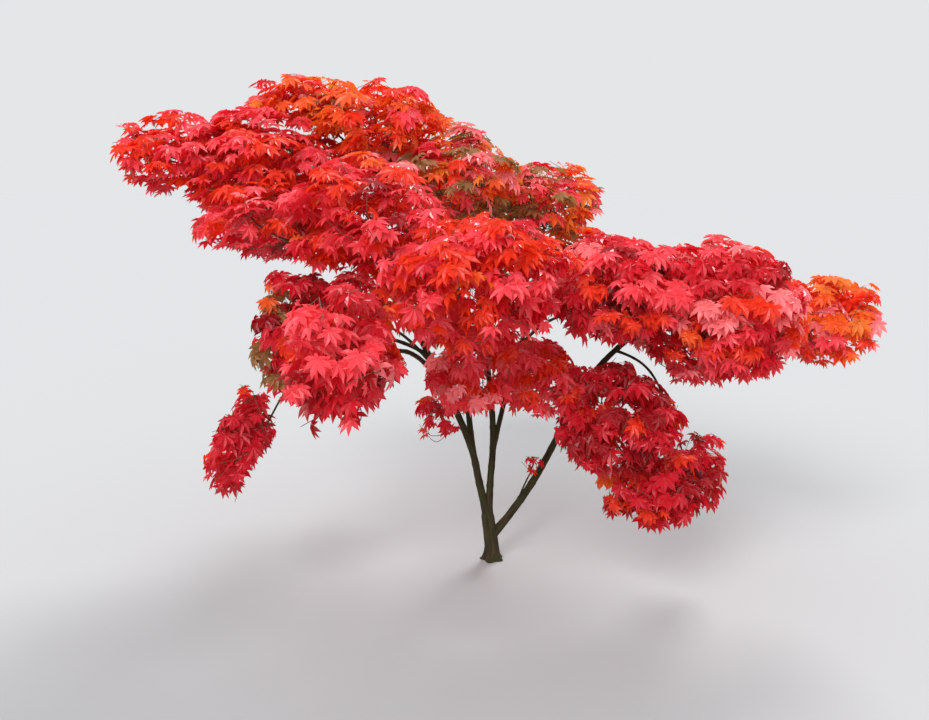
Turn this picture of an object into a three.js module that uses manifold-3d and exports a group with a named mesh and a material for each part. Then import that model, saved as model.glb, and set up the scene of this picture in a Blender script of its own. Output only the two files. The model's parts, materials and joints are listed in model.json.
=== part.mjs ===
// Japanese maple in autumn leaf: a low forked trunk, leaning stems, spreading boughs and a tiered crown.
// Millimetres, +Z up, +X to the right of the front view, -Y towards the front.
// The origin is the middle of the trunk's flat cut at ground level.
import * as THREE from "three";
import { mergeVertices } from "three/addons/utils/BufferGeometryUtils.js";
import Module from "manifold-3d";

const wasm = await Module();
wasm.setup();

// Clear space between pieces that touch.
const GAP = 0.3;
// What a limb grows by before it cuts another: a little over the gap, because flat facets lie inside the round.
const CLEAR = GAP * 1.15;

// The trunk leans left as it rises, and is cut flat at ground level. Its foot spreads into a few low root
// ridges, and its head is rounded over.
const TRUNK = {
  height: 228,
  sunk: 6,
  lean: -26,
  footRadius: 47,
  waistRadius: 31,
  topRadius: 27,
  flareHeight: 75,
  ridges: 5,
  ridgeShare: 0.13,
  shoulder: { from: 0.88, share: 0.85 },
  crown: { from: 0.99, share: 0.45 },
  sides: 15,
  rings: 9,
};

// Stems, as [across, back, up] points that they pass after they leave their parent. `at` is the share of the
// parent's length where one leaves, and `thick` its radius at the foot and at the tip.
const STEMS = {
  left_stem: {
    from: "trunk",
    at: 0.72,
    thick: [17.5, 8],
    via: [[-57, -3, 345], [-87, -15, 487], [-205, -60, 780], [-330, -100, 1030], [-560, -90, 1340]],
    mass: "left_arm",
  },
  middle_stem: {
    from: "trunk",
    at: 0.76,
    thick: [16.5, 7.5],
    via: [[-10, 2, 335], [1, 0, 524], [-14, 12, 760], [-46, 30, 1000]],
    mass: "shoulder",
  },
  right_stem: {
    from: "trunk",
    at: 0.45,
    thick: [17.5, 8],
    via: [[58, 0, 178], [178, 0, 359], [310, 0, 623], [409, -5, 809], [640, -30, 1010]],
    mass: "right_tip",
  },
  upright_stem: {
    from: "left_stem",
    at: 0.2,
    thick: [13.5, 7],
    via: [[-99, 50, 610], [-120, 95, 860], [-220, 110, 1200], [-350, 90, 1470]],
    mass: "top",
  },
  fork_stem: {
    from: "middle_stem",
    at: 0.24,
    thick: [11.5, 6.5],
    via: [[42, 20, 661], [105, 70, 880], [180, 105, 1140]],
    mass: "right_shoulder",
  },
};

const STEM_FACETS = { sides: 7, rings: 8 };

// Boughs: the limb that each leaves, where along it, its foot radius, and how far its middle arches up.
// Each one ends where it enters its own mass of foliage.
const BOUGHS = {
  left_tip: { from: "left_stem", at: 0.9, foot: 8, lift: 40 },
  left_hang: { from: "left_stem", at: 0.78, foot: 8, lift: 50 },
  left_low: { from: "left_stem", at: 0.5, foot: 9, lift: 60 },
  left_tail: { from: "left_low", at: 0.72, foot: 6, lift: 150 },
  low_left: { from: "left_stem", at: 0.26, foot: 5.5, lift: 25 },
  front_left: { from: "left_stem", at: 0.42, foot: 11, lift: 110 },
  back_low_left: { from: "left_stem", at: 0.46, foot: 8, lift: 50 },
  top_left: { from: "upright_stem", at: 0.84, foot: 7, lift: 30 },
  back_left: { from: "upright_stem", at: 0.56, foot: 9, lift: 70 },
  back_high: { from: "upright_stem", at: 0.68, foot: 8, lift: 40 },
  front_high: { from: "upright_stem", at: 0.6, foot: 9, lift: 60 },
  front_centre: { from: "middle_stem", at: 0.56, foot: 10, lift: 90 },
  low_centre: { from: "middle_stem", at: 0.36, foot: 6.5, lift: 60 },
  back_centre: { from: "middle_stem", at: 0.62, foot: 9.5, lift: 70 },
  back_far: { from: "middle_stem", at: 0.48, foot: 9.5, lift: 110 },
  low_middle: { from: "fork_stem", at: 0.26, foot: 6, lift: 60 },
  right_inner: { from: "fork_stem", at: 0.5, foot: 8, lift: 50 },
  back_right: { from: "fork_stem", at: 0.58, foot: 8.5, lift: 70 },
  right_mid: { from: "right_stem", at: 0.66, foot: 9.5, lift: 50 },
  low_right: { from: "right_stem", at: 0.36, foot: 8.5, lift: 110 },
  low_right_foot: { from: "low_right", at: 0.45, foot: 5.5, lift: 60 },
  low_right_tail: { from: "right_stem", at: 0.6, foot: 6, lift: 150 },
  back_far_right: { from: "right_stem", at: 0.58, foot: 9, lift: 70 },
  shoot: { from: "right_stem", at: 0.09, foot: 4.5, lift: 4 },
};

const BOUGH_FACETS = { sides: 5, ringLength: 130, fewest: 2, most: 6 };
const BOUGH_TIP = { share: 0.55, least: 3.5 };
// A bough's arc: how much of its first heading is straight towards its end, and where its ends pull it to.
const BOUGH_ARC = { aimed: 0.6, bendShare: 1 / 3, archAt: 0.62 };
const TAPER_POWER = 0.8;
// How far apart the spots on a limb's line are that twigs keep clear of.
const SAMPLE_STEP = 12;
// How far into a mass a limb runs, as a share of the way from the mass's middle to its edge, and in how many
// steps that edge is looked for.
const LIMB_END = 0.8;
const EDGE_STEPS = 40;

// Foliage masses: the middle of each one, its half sizes across, back and up, its number of twigs and its tone.
const MASSES = {
  left_tip: { middle: [-1240, -60, 1680], half: [235, 270, 180], twigs: 5, tone: "orangeRed" },
  left_arm: { middle: [-900, -40, 1630], half: [340, 390, 230], twigs: 6, tone: "scarlet" },
  left_hang: { middle: [-840, -420, 1430], half: [230, 300, 160], twigs: 5, tone: "scarlet" },
  left_low: { middle: [-700, -480, 1050], half: [170, 300, 250], twigs: 4, tone: "crimson" },
  left_tail: { middle: [-935, -420, 630], half: [150, 205, 250], twigs: 5, tone: "deepRed" },
  low_left: { middle: [-235, -60, 635], half: [130, 130, 100], twigs: 3, tone: "deepRed" },
  top_left: { middle: [-755, 140, 1880], half: [260, 290, 130], twigs: 4, tone: "orangeRed" },
  top: { middle: [-460, 60, 1790], half: [315, 370, 185], twigs: 5, tone: "scarlet" },
  shoulder: { middle: [-130, -55, 1590], half: [260, 400, 225], twigs: 4, tone: "scarlet" },
  right_shoulder: { middle: [220, 130, 1490], half: [250, 345, 190], twigs: 5, tone: "scarlet" },
  front_high: { middle: [-460, -565, 1460], half: [290, 370, 225], twigs: 5, tone: "scarlet" },
  front_centre: { middle: [-100, -700, 1270], half: [330, 365, 270], twigs: 6, tone: "crimson" },
  front_left: { middle: [-460, -1110, 1085], half: [190, 335, 225], twigs: 6, tone: "crimson" },
  right_inner: { middle: [430, -380, 1190], half: [290, 370, 205], twigs: 5, tone: "scarlet" },
  right_mid: { middle: [800, -300, 1100], half: [328, 415, 285], twigs: 9, tone: "scarlet" },
  right_tip: { middle: [1285, -60, 1040], half: [265, 285, 205], twigs: 5, tone: "orangeRed" },
  low_centre: { middle: [-100, -420, 905], half: [210, 230, 180], twigs: 4, tone: "crimson" },
  low_middle: { middle: [170, -330, 860], half: [190, 240, 160], twigs: 3, tone: "deepRed" },
  low_right: { middle: [440, -400, 720], half: [260, 265, 235], twigs: 6, tone: "deepRed" },
  low_right_foot: { middle: [588, -400, 465], half: [248, 225, 182], twigs: 6, tone: "deepRed" },
  low_right_tail: { middle: [820, -160, 440], half: [130, 160, 190], twigs: 3, tone: "deepRed" },
  back_low_left: { middle: [-620, 520, 1010], half: [250, 270, 150], twigs: 4, tone: "deepRed" },
  back_left: { middle: [-980, 560, 1400], half: [310, 330, 190], twigs: 5, tone: "crimson" },
  back_high: { middle: [-480, 620, 1600], half: [330, 340, 180], twigs: 4, tone: "scarlet" },
  back_centre: { middle: [-20, 680, 1400], half: [320, 340, 190], twigs: 5, tone: "scarlet" },
  back_right: { middle: [420, 560, 1195], half: [345, 360, 185], twigs: 5, tone: "scarlet" },
  back_far: { middle: [-350, 1080, 1230], half: [370, 280, 170], twigs: 5, tone: "crimson" },
  back_far_right: { middle: [820, 300, 1080], half: [330, 345, 170], twigs: 4, tone: "scarlet" },
  shoot: { middle: [165, -30, 415], half: [62, 62, 62], twigs: 3, tone: "deepRed" },
};
// A mass's own space stops this much short of its neighbours' in the measure of `depthIn`, and above the ground.
const CELL_MARGIN = 0.03;
const GROUND_ROOM = 20;

// Foliage. Each leaf here stands for a few real ones, so it is larger than life. The blade's length runs from
// its heart to its tip; a lobe is [turn, reach], its reach a share of that length.
const LEAF = {
  length: 165,
  fullSizeHalf: 185,
  leastShare: 0.42,
  stalkShare: 0.22,
  stalkHalf: 1.3,
  stalkSunk: 0.3,
  neckShare: 0.85,
  thickShare: 0.03,
  lobes: [[78, 0.9], [0, 1], [-78, 0.9]],
  notchReach: 0.56,
  droopShare: 0.22,
  outwardFace: 0.45,
};
// Where a twig bears leaves: the share of its length, the turn from its own heading and the added droop. Those
// before the share INNER_FROM are its inner pair.
const LEAVES_ON_TWIG = [[1, 0, 0], [0.8, 0.95, 0.1], [0.8, -0.95, 0.1], [0.45, 1.3, -0.1], [0.45, -1.3, -0.1]];
const INNER_FROM = 0.6;
const LEAN = 0.5;
// What is tried for a leaf until it fits: its size, a further turn and a further droop.
const LEAF_TRIES = [1, 0.8, 0.64, 0.5].flatMap((size) =>
  [[0, 0], [0.3, 0.25], [-0.3, 0.25], [0.3, -0.3], [-0.3, -0.3], [0.6, 0.5], [-0.6, 0.5]].map((s) => [size, ...s]),
);

// Twigs. `pathShare` weighs the way already grown when a new twig looks for its parent, and the inner pair of
// leaves needs a twig longer than `innerPair` leaves.
const TWIG = {
  tipRadius: 3.4,
  firstSide: [0.3, 0.2, 0.93],
  loadPower: 0.4,
  footShare: 0.45,
  stemLength: 45,
  stemShare: 0.4,
  stemThickness: 0.92,
  pathShare: 0.35,
  shortest: 20,
  step: 15,
  innerPair: 1.1,
  limbRoom: 8,
  searchRoom: 60,
};
// Twig ends: how far down the mass they go (2 is its underside), their sway in radians, their droop, and what is
// tried for the tip of an end's middle leaf: its share of the way to the mass's edge, and how much droop it loses.
const ENDS = {
  depth: 2,
  sway: 0.5,
  droop: { top: 0.35, side: 0.7, spread: 0.3, least: 0.1 },
  tries: [0.99, 0.86, 0.73, 0.6].flatMap((share) => [0, 0.45, 0.9].map((lift) => [share, lift])),
};
const GOLDEN_TURN = 2.39996;

const finish = (color, roughness) => new THREE.MeshStandardMaterial({ color, roughness, metalness: 0 });
const TONES = { scarlet: "#c8141c", crimson: "#b80f2a", deepRed: "#960c1e", orangeRed: "#d63016" };
const BARK = "#5d5340";

const point = (xyz) => new THREE.Vector3(...xyz);
const UP = point([0, 0, 1]);

// A seeded stream of numbers from 0 to 1.
function dice(seed) {
  let state = Math.imul(seed, 2654435761) >>> 0;
  return () => {
    state = (Math.imul(state, 1664525) + 1013904223) >>> 0;
    return state / 2 ** 32;
  };
}

function toSolid(geometry) {
  const bare = new THREE.BufferGeometry();
  bare.setAttribute("position", geometry.getAttribute("position"));
  bare.setIndex(geometry.index);
  const merged = mergeVertices(bare, 1e-3);
  const mesh = new wasm.Mesh({
    numProp: 3,
    vertProperties: merged.getAttribute("position").array,
    triVerts: new Uint32Array(merged.index.array),
  });
  return new wasm.Manifold(mesh);
}

// A closed solid from points and the triangles between them.
function faceted(points, faces) {
  const geometry = new THREE.BufferGeometry().setFromPoints(points);
  geometry.setIndex(faces.flat());
  return toSolid(geometry);
}

function toGeometry(solid) {
  const mesh = solid.getMesh();
  const geometry = new THREE.BufferGeometry();
  geometry.setAttribute("position", new THREE.BufferAttribute(mesh.vertProperties, 3));
  geometry.setIndex(new THREE.BufferAttribute(mesh.triVerts, 1));
  geometry.computeVertexNormals();
  return geometry;
}

function largestPiece(solid) {
  return solid.decompose().reduce((best, piece) => (piece.volume() > best.volume() ? piece : best));
}

// A closed tube along a curve. `radiusAt` gives the radius at a share of the length and an angle, and the tube
// runs on past the curve's end by `overrun`.
function tube(curve, radiusAt, sides, rings, overrun = 0) {
  const geometry = new THREE.CylinderGeometry(1, 1, 1, sides, rings);
  const frames = curve.computeFrenetFrames(rings);
  const position = geometry.getAttribute("position");
  for (let i = 0; i < position.count; i++) {
    const ring = Math.round((position.getY(i) + 0.5) * rings);
    const share = ring / rings;
    const radius = radiusAt(share, Math.atan2(position.getZ(i), position.getX(i)));
    const spot = curve
      .getPointAt(share)
      .addScaledVector(frames.normals[ring], position.getX(i) * radius)
      .addScaledVector(frames.binormals[ring], -position.getZ(i) * radius)
      .addScaledVector(frames.tangents[ring], ring === rings ? overrun : 0);
    position.setXYZ(i, spot.x, spot.y, spot.z);
  }
  return toSolid(geometry);
}

// How far a point is from a mass's middle, as a share of the mass's half sizes.
function depthIn(mass, spot) {
  const [x, y, z] = mass.middle;
  const [across, back, up] = mass.half;
  return Math.hypot((spot.x - x) / across, (spot.y - y) / back, (spot.z - z) / up);
}

// A mass's own space is where it is nearer, in that measure, than every other mass.
function inOwnSpace(mass, spot) {
  const own = depthIn(mass, spot);
  if (own > 1 || spot.z < GROUND_ROOM) return false;
  return Object.values(MASSES).every((other) => other === mass || depthIn(other, spot) > own + CELL_MARGIN);
}

// Where a limb that comes from `start` ends inside a mass's own space.
function entryPoint(mass, start) {
  const middle = point(mass.middle);
  let edge = middle;
  for (let i = 1; i < EDGE_STEPS; i++) {
    const spot = middle.clone().lerp(start, i / EDGE_STEPS);
    if (!inOwnSpace(mass, spot)) break;
    edge = spot;
  }
  return middle.clone().lerp(edge, LIMB_END);
}

// Limbs: the trunk first, then each stem and bough, cut clear of those that came before.
const limbs = new Map();

const SOIL = { side: 400, depth: 100 };
const soilBlock = new THREE.BoxGeometry(SOIL.side, SOIL.side, SOIL.depth).translate(0, 0, -SOIL.depth / 2);
const underground = toSolid(soilBlock);

function addLimb(name, curve, radiusAt, { sides, rings }) {
  let solid = tube(curve, radiusAt, sides, rings).subtract(underground);
  for (const other of limbs.values()) solid = solid.subtract(other.grown);
  const spots = curve.getSpacedPoints(Math.ceil(curve.getLength() / SAMPLE_STEP));
  limbs.set(name, {
    solid: largestPiece(solid),
    grown: tube(curve, (share, angle) => radiusAt(share, angle) + CLEAR, sides, rings, CLEAR),
    curve,
    samples: spots.map((spot, i) => ({ spot, radius: radiusAt(i / (spots.length - 1), 0) })),
    tipRadius: radiusAt(1, 0),
  });
}

function trunkRadius(share, angle) {
  const flare = Math.max(0, 1 - (share * TRUNK.height) / TRUNK.flareHeight) ** 2;
  const waist = THREE.MathUtils.lerp(TRUNK.waistRadius, TRUNK.topRadius, share);
  const round = waist + (TRUNK.footRadius - TRUNK.waistRadius) * flare;
  const head = [TRUNK.crown, TRUNK.shoulder].find((part) => share > part.from);
  return round * (head?.share ?? 1) * (1 + TRUNK.ridgeShare * flare * Math.cos(TRUNK.ridges * angle));
}

function addTrunk() {
  const { height, lean } = TRUNK;
  const path = [[0, 0, -TRUNK.sunk], [0, 0, height * 0.35], [lean * 0.6, 0, height * 0.7], [lean, 0, height]];
  addLimb("trunk", new THREE.CubicBezierCurve3(...path.map(point)), trunkRadius, TRUNK);
}

const taper = (foot, tip) => (share) => foot + (tip - foot) * share ** TAPER_POWER;

function addStem(name, { from, at, thick, via, mass }) {
  const start = limbs.get(from).curve.getPointAt(at);
  const end = entryPoint(MASSES[mass], point(via.at(-1)));
  const curve = new THREE.CatmullRomCurve3([start, ...via.map(point), end]);
  addLimb(name, curve, taper(...thick), STEM_FACETS);
}

// A bough leaves its parent partly along the parent's own heading and arches over to its mass.
function addBough(name, { from, at, foot, lift }) {
  const parent = (limbs.get(from) ?? limbs.get(`bough_${from}`)).curve;
  const start = parent.getPointAt(at);
  const end = entryPoint(MASSES[name], start);
  const leaving = parent.getTangentAt(at).lerp(end.clone().sub(start).normalize(), BOUGH_ARC.aimed).normalize();
  const bend = start.clone().addScaledVector(leaving, start.distanceTo(end) * BOUGH_ARC.bendShare);
  const arch = start.clone().lerp(end, BOUGH_ARC.archAt).addScaledVector(UP, lift);
  const curve = new THREE.CubicBezierCurve3(start, bend, arch, end);
  const { sides, ringLength, fewest, most } = BOUGH_FACETS;
  const rings = THREE.MathUtils.clamp(Math.round(curve.getLength() / ringLength), fewest, most);
  const tip = Math.max(BOUGH_TIP.least, foot * BOUGH_TIP.share);
  addLimb(`bough_${name}`, curve, taper(foot, tip), { sides, rings });
}

addTrunk();
Object.entries(STEMS).forEach(([name, stem]) => addStem(name, stem));
Object.entries(BOUGHS).forEach(([name, bough]) => addBough(name, bough));

// Every mass's stem starts a gap beyond the tip of the limb that carries it, in line with it.
function stemOf(name) {
  const carrier = Object.keys(STEMS).find((stem) => STEMS[stem].mass === name) ?? `bough_${name}`;
  const { curve, tipRadius } = limbs.get(carrier);
  const heading = curve.getTangentAt(1);
  const foot = curve.getPointAt(1).addScaledVector(heading, GAP);
  const length = Math.min(TWIG.stemLength, Math.min(...MASSES[name].half) * TWIG.stemShare);
  return { foot, tip: foot.clone().addScaledVector(heading, length), radius: tipRadius * TWIG.stemThickness };
}

const massStems = Object.fromEntries(Object.keys(MASSES).map((name) => [name, stemOf(name)]));

const stemSamples = Object.entries(massStems).flatMap(([name, { foot, tip, radius }]) =>
  [0, 0.25, 0.5, 0.75, 1].map((share) => ({ name, spot: foot.clone().lerp(tip, share), radius })),
);

// What a mass's twigs keep clear of: the limbs and the other masses' stems that come near it.
function obstaclesNear(name) {
  const middle = point(MASSES[name].middle);
  const reach = Math.max(...MASSES[name].half) + TWIG.searchRoom;
  const samples = [...limbs.values()].flatMap((limb) => limb.samples);
  const others = stemSamples.filter((sample) => sample.name !== name);
  return [...samples, ...others].filter(({ spot }) => spot.distanceTo(middle) < reach);
}

// The way a leaf's middle lobe points: outward and drooping.
function leafHeading(flat, turn, droop) {
  const level = flat.clone().applyAxisAngle(UP, turn);
  return level.multiplyScalar(Math.cos(droop)).setZ(-Math.sin(droop));
}

function leafLength(mass) {
  const share = Math.min(...mass.half) / LEAF.fullSizeHalf;
  return LEAF.length * THREE.MathUtils.clamp(share, LEAF.leastShare, 1);
}

// Twig ends spread evenly round a mass, from its top down to its underside; the one halfway down faces away from
// the trunk. The tip of each end's middle leaf lies near the mass's edge, or further in where another mass is
// nearer.
function scatter(mass, random) {
  const length = leafLength(mass) * (1 + LEAF.stalkShare);
  const outward = Math.atan2(mass.middle[1], mass.middle[0]);
  const ends = [];
  for (let n = 0; n < mass.twigs; n++) {
    const level = 1 - (ENDS.depth * (n + 0.5)) / mass.twigs;
    const turn = outward + (n - Math.floor(mass.twigs / 2)) * GOLDEN_TURN + ENDS.sway * (random() - 0.5);
    const sway = ENDS.sway * (random() - 0.5);
    const { top, side, spread, least } = ENDS.droop;
    const droop = top + side * (1 - Math.max(0, level)) + spread * (random() - 0.5);
    const ring = Math.sqrt(1 - level * level);
    const away = [ring * Math.cos(turn), ring * Math.sin(turn), level];
    const flat = point([away[0], away[1], 0]).normalize().applyAxisAngle(UP, sway);
    const end = ENDS.tries
      .map(([share, lift]) => {
        const tip = point(away.map((a, k) => mass.middle[k] + a * share * mass.half[k]));
        const sag = Math.max(least, droop - lift);
        return { tip, spot: tip.clone().addScaledVector(leafHeading(flat, 0, sag), -length), flat, droop: sag };
      })
      .find(({ tip, spot }) => inOwnSpace(mass, tip) && inOwnSpace(mass, spot));
    if (end) ends.push(end);
  }
  return ends;
}

function isOpenWay(mass, obstacles, from, to) {
  const steps = Math.ceil(from.distanceTo(to) / TWIG.step);
  for (let i = 1; i <= steps; i++) {
    const spot = from.clone().lerp(to, i / steps);
    if (!inOwnSpace(mass, spot)) return false;
    if (obstacles.some((o) => o.spot.distanceTo(spot) < o.radius + TWIG.limbRoom)) return false;
  }
  return true;
}

// Twigs branch from the stem: each end joins the nearest part of what has grown so far. A knot's load is the
// number of ends that hang on it.
function growTwigs(mass, stem, obstacles, random) {
  const knots = [{ spot: stem.tip, path: 0, parent: null, load: 0 }];
  const ends = scatter(mass, random);
  ends.sort((a, b) => a.spot.distanceTo(stem.tip) - b.spot.distanceTo(stem.tip));
  for (const end of ends) {
    const cost = (knot) => knot.spot.distanceTo(end.spot) + TWIG.pathShare * knot.path;
    const parent = knots.reduce((best, knot) => (cost(knot) < cost(best) ? knot : best));
    const step = parent.spot.distanceTo(end.spot);
    if (step < TWIG.shortest || !isOpenWay(mass, obstacles, parent.spot, end.spot)) continue;
    knots.push({ ...end, path: parent.path + step, step, parent, load: 1 });
  }
  for (const knot of knots.slice(1)) {
    for (let below = knot.parent; below; below = below.parent) below.load += 1;
  }
  return knots;
}

const twigRadius = (load) => TWIG.tipRadius * Math.max(1, load) ** TWIG.loadPower;

// A three-sided tube through the spots, with a radius at each.
function twigSolid(spots, radii) {
  const side = point(TWIG.firstSide);
  const last = spots.length - 1;
  const points = spots.flatMap((spot, i) => {
    const heading = spots[Math.min(i + 1, last)].clone().sub(spots[Math.max(i - 1, 0)]).normalize();
    side.addScaledVector(heading, -side.dot(heading)).normalize();
    const up = heading.clone().cross(side);
    return [0, 1, 2].map((corner) => {
      const angle = (corner * 2 * Math.PI) / 3;
      const across = side.clone().multiplyScalar(Math.cos(angle)).addScaledVector(up, Math.sin(angle));
      return spot.clone().addScaledVector(across, radii[i]);
    });
  });
  const faces = [[2, 1, 0], [3 * last, 3 * last + 1, 3 * last + 2]];
  for (let i = 0; i < last; i++) {
    for (const corner of [0, 1, 2]) {
      const [here, next] = [3 * i + corner, 3 * i + ((corner + 1) % 3)];
      faces.push([here, next, here + 3], [next, next + 3, here + 3]);
    }
  }
  return faceted(points, faces);
}

// Chains of knots: the heaviest twig at a knot carries on the chain that comes to it, the others start one.
function twigChains(knots) {
  const chains = [];
  const follow = (knot, chain) => {
    chain.push(knot);
    const after = knots.filter((other) => other.parent === knot).sort((p, q) => q.load - p.load);
    if (after.length) follow(after[0], chain);
    else chains.push(chain);
    after.slice(1).forEach((other) => follow(other, [knot]));
  };
  follow(knots[0], []);
  return chains;
}

// The first chain starts with the mass's own stem. A later chain's foot is sunk inside the twig that it leaves.
function chainSolid(chain, stem) {
  const spots = chain.map((knot) => knot.spot);
  const radii = chain.map((knot, i) => twigRadius(knot.load) * (i === 0 && !stem ? TWIG.footShare : 1));
  const end = spots.at(-1).clone().sub(spots.at(-2)).normalize();
  spots.push(spots.pop().clone().addScaledVector(end, TWIG.tipRadius));
  if (stem) {
    spots.unshift(stem.foot);
    radii.unshift(Math.min(stem.radius, radii[0] + 1));
  }
  return twigSolid(spots, radii);
}

// The rim of one leaf in its own plane, anticlockwise from the stalk's neck: lobe tips with notches between.
function leafRim(length) {
  const heart = LEAF.stalkShare * length;
  const spoke = (turn, reach, drop) => {
    const angle = THREE.MathUtils.degToRad(turn);
    return [Math.sin(angle) * reach * length, heart + Math.cos(angle) * reach * length, -drop * reach * length];
  };
  const blade = LEAF.lobes.flatMap(([turn, reach], i) => {
    const next = LEAF.lobes[i + 1];
    const lobe = spoke(turn, reach, LEAF.droopShare);
    return next ? [lobe, spoke((turn + next[0]) / 2, LEAF.notchReach, 0)] : [lobe];
  });
  const neck = heart * LEAF.neckShare;
  return [[LEAF.stalkHalf, neck, 0], ...blade, [-LEAF.stalkHalf, neck, 0]];
}

// A leaf on `spot`: `heading` is the way its middle lobe points, and its stalk starts `start` along that way.
function leafPoints(spot, heading, length, start) {
  const face = heading.clone().setZ(0).normalize().multiplyScalar(LEAF.outwardFace).setZ(1).normalize();
  const side = heading.clone().cross(face).normalize();
  const up = side.clone().cross(heading).normalize();
  const place = ([x, y, z]) =>
    spot.clone().addScaledVector(side, x).addScaledVector(heading, y).addScaledVector(up, z);
  const thick = (LEAF.thickShare * length) / 2;
  const heart = LEAF.stalkShare * length;
  return {
    rim: leafRim(length).map(place),
    foot: [[0, start, LEAF.stalkHalf], [0, start, -LEAF.stalkHalf]].map(place),
    hearts: [[0, heart, thick], [0, heart, -thick]].map(place),
  };
}

// The blade and stalk as one closed solid: fans from the upper and the lower heart out to the rim.
function leafSolid({ rim, foot, hearts }) {
  const count = rim.length;
  const [upper, lower, over, below] = [count, count + 1, count + 2, count + 3];
  const faces = [[upper, 0, over], [count - 1, upper, over], [0, lower, below], [lower, count - 1, below]];
  for (let i = 0; i + 1 < count; i++) faces.push([i, i + 1, over], [i + 1, i, below]);
  faces.push([lower, 0, upper], [lower, upper, count - 1]);
  return faceted([...rim, ...foot, ...hearts], faces);
}

function boxesMeet(a, b) {
  return [0, 1, 2].every((k) => a.min[k] < b.max[k] && b.min[k] < a.max[k]);
}

const boxed = (solid) => ({ solid, box: solid.boundingBox() });

const meets = (a, b) => boxesMeet(a.box, b.box) && !a.solid.intersect(b.solid).isEmpty();

// A leaf on a twig, turned or made smaller until it keeps to the mass's space and its blade crosses nothing.
function leafOnTwig(mass, knot, [share, turn, droop], solids, lean) {
  const spot = knot.parent.spot.clone().lerp(knot.spot, share);
  for (const [size, moreTurn, moreDroop] of LEAF_TRIES) {
    const heading = leafHeading(knot.flat, turn + moreTurn, knot.droop + droop + moreDroop + lean);
    const length = leafLength(mass) * size;
    const leaf = leafPoints(spot, heading, length, -LEAF.stalkHalf * LEAF.stalkSunk);
    const middles = leaf.rim.map((rim, i) => rim.clone().lerp(leaf.rim[(i + 1) % leaf.rim.length], 0.5));
    if (![...leaf.rim, ...middles, leaf.hearts[0]].every((s) => inOwnSpace(mass, s))) continue;
    const blade = boxed(leafSolid(leafPoints(spot, heading, length, length * LEAF.stalkShare * 0.5)));
    if (!solids.some((other) => meets(blade, other))) return leafSolid(leaf);
  }
  return null;
}

// How far beyond a mass's half sizes limbs are looked for.
const LIMBS_NEAR = 20;

// The limbs around a mass, made larger by the gap.
function limbsNear(mass) {
  const [min, max] = [-1, 1].map((way) => mass.middle.map((m, k) => m + way * (mass.half[k] + LIMBS_NEAR)));
  const grown = [...limbs.values()].map((limb) => boxed(limb.grown));
  return grown.filter((limb) => boxesMeet(limb.box, { min, max }));
}

function foliage(name, seed) {
  const mass = MASSES[name];
  const stem = massStems[name];
  const random = dice(seed);
  const knots = growTwigs(mass, stem, obstaclesNear(name), random);
  const twigs = twigChains(knots).map((chain, i) => chainSolid(chain, i === 0 ? stem : null));
  const solids = [...limbsNear(mass), ...twigs.map(boxed)];
  const leaves = [];
  for (const place of LEAVES_ON_TWIG) {
    for (const knot of knots.slice(1)) {
      const lean = LEAN * (random() - 0.5);
      const isInner = place[0] < INNER_FROM;
      if (isInner && knot.step < TWIG.innerPair * leafLength(mass)) continue;
      const leaf = leafOnTwig(mass, knot, place, solids, lean);
      if (!leaf) continue;
      leaves.push(leaf);
      solids.push(boxed(leaf));
    }
  }
  return largestPiece([...twigs, ...leaves].reduce((all, piece) => all.add(piece)));
}

const tree = new THREE.Group();

function addMesh(name, solid, material) {
  const mesh = new THREE.Mesh(toGeometry(solid), material);
  mesh.name = name;
  tree.add(mesh);
}

for (const [name, limb] of limbs) addMesh(name, limb.solid, finish(BARK, 0.9));
Object.entries(MASSES).forEach(([name, mass], i) => {
  addMesh(`leaves_${name}`, foliage(name, i + 1), finish(TONES[mass.tone], 0.6));
});

export default tree;
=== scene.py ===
import json
import math

import bpy
import numpy as np
from mathutils import Matrix, Vector, noise

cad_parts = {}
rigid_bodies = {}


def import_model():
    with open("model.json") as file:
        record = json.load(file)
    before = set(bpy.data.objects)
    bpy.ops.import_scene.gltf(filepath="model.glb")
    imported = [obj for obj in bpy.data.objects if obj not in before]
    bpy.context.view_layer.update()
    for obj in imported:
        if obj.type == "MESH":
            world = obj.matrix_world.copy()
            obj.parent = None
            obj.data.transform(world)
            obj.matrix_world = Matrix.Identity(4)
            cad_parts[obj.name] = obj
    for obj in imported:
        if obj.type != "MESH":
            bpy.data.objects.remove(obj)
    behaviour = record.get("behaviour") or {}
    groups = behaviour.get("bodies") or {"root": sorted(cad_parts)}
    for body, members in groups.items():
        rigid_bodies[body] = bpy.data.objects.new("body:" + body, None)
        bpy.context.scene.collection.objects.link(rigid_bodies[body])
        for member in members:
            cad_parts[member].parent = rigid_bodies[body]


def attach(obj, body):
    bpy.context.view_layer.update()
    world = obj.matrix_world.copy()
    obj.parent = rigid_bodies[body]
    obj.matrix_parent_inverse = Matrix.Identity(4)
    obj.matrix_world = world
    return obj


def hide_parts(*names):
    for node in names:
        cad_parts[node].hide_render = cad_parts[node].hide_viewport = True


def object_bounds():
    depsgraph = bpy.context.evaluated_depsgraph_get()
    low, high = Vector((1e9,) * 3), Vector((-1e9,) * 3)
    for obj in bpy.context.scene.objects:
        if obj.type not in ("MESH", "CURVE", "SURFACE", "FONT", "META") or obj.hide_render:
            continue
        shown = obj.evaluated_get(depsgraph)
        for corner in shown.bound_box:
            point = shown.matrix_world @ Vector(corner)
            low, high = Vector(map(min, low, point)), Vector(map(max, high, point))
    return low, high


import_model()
CAD_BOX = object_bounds()

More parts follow.
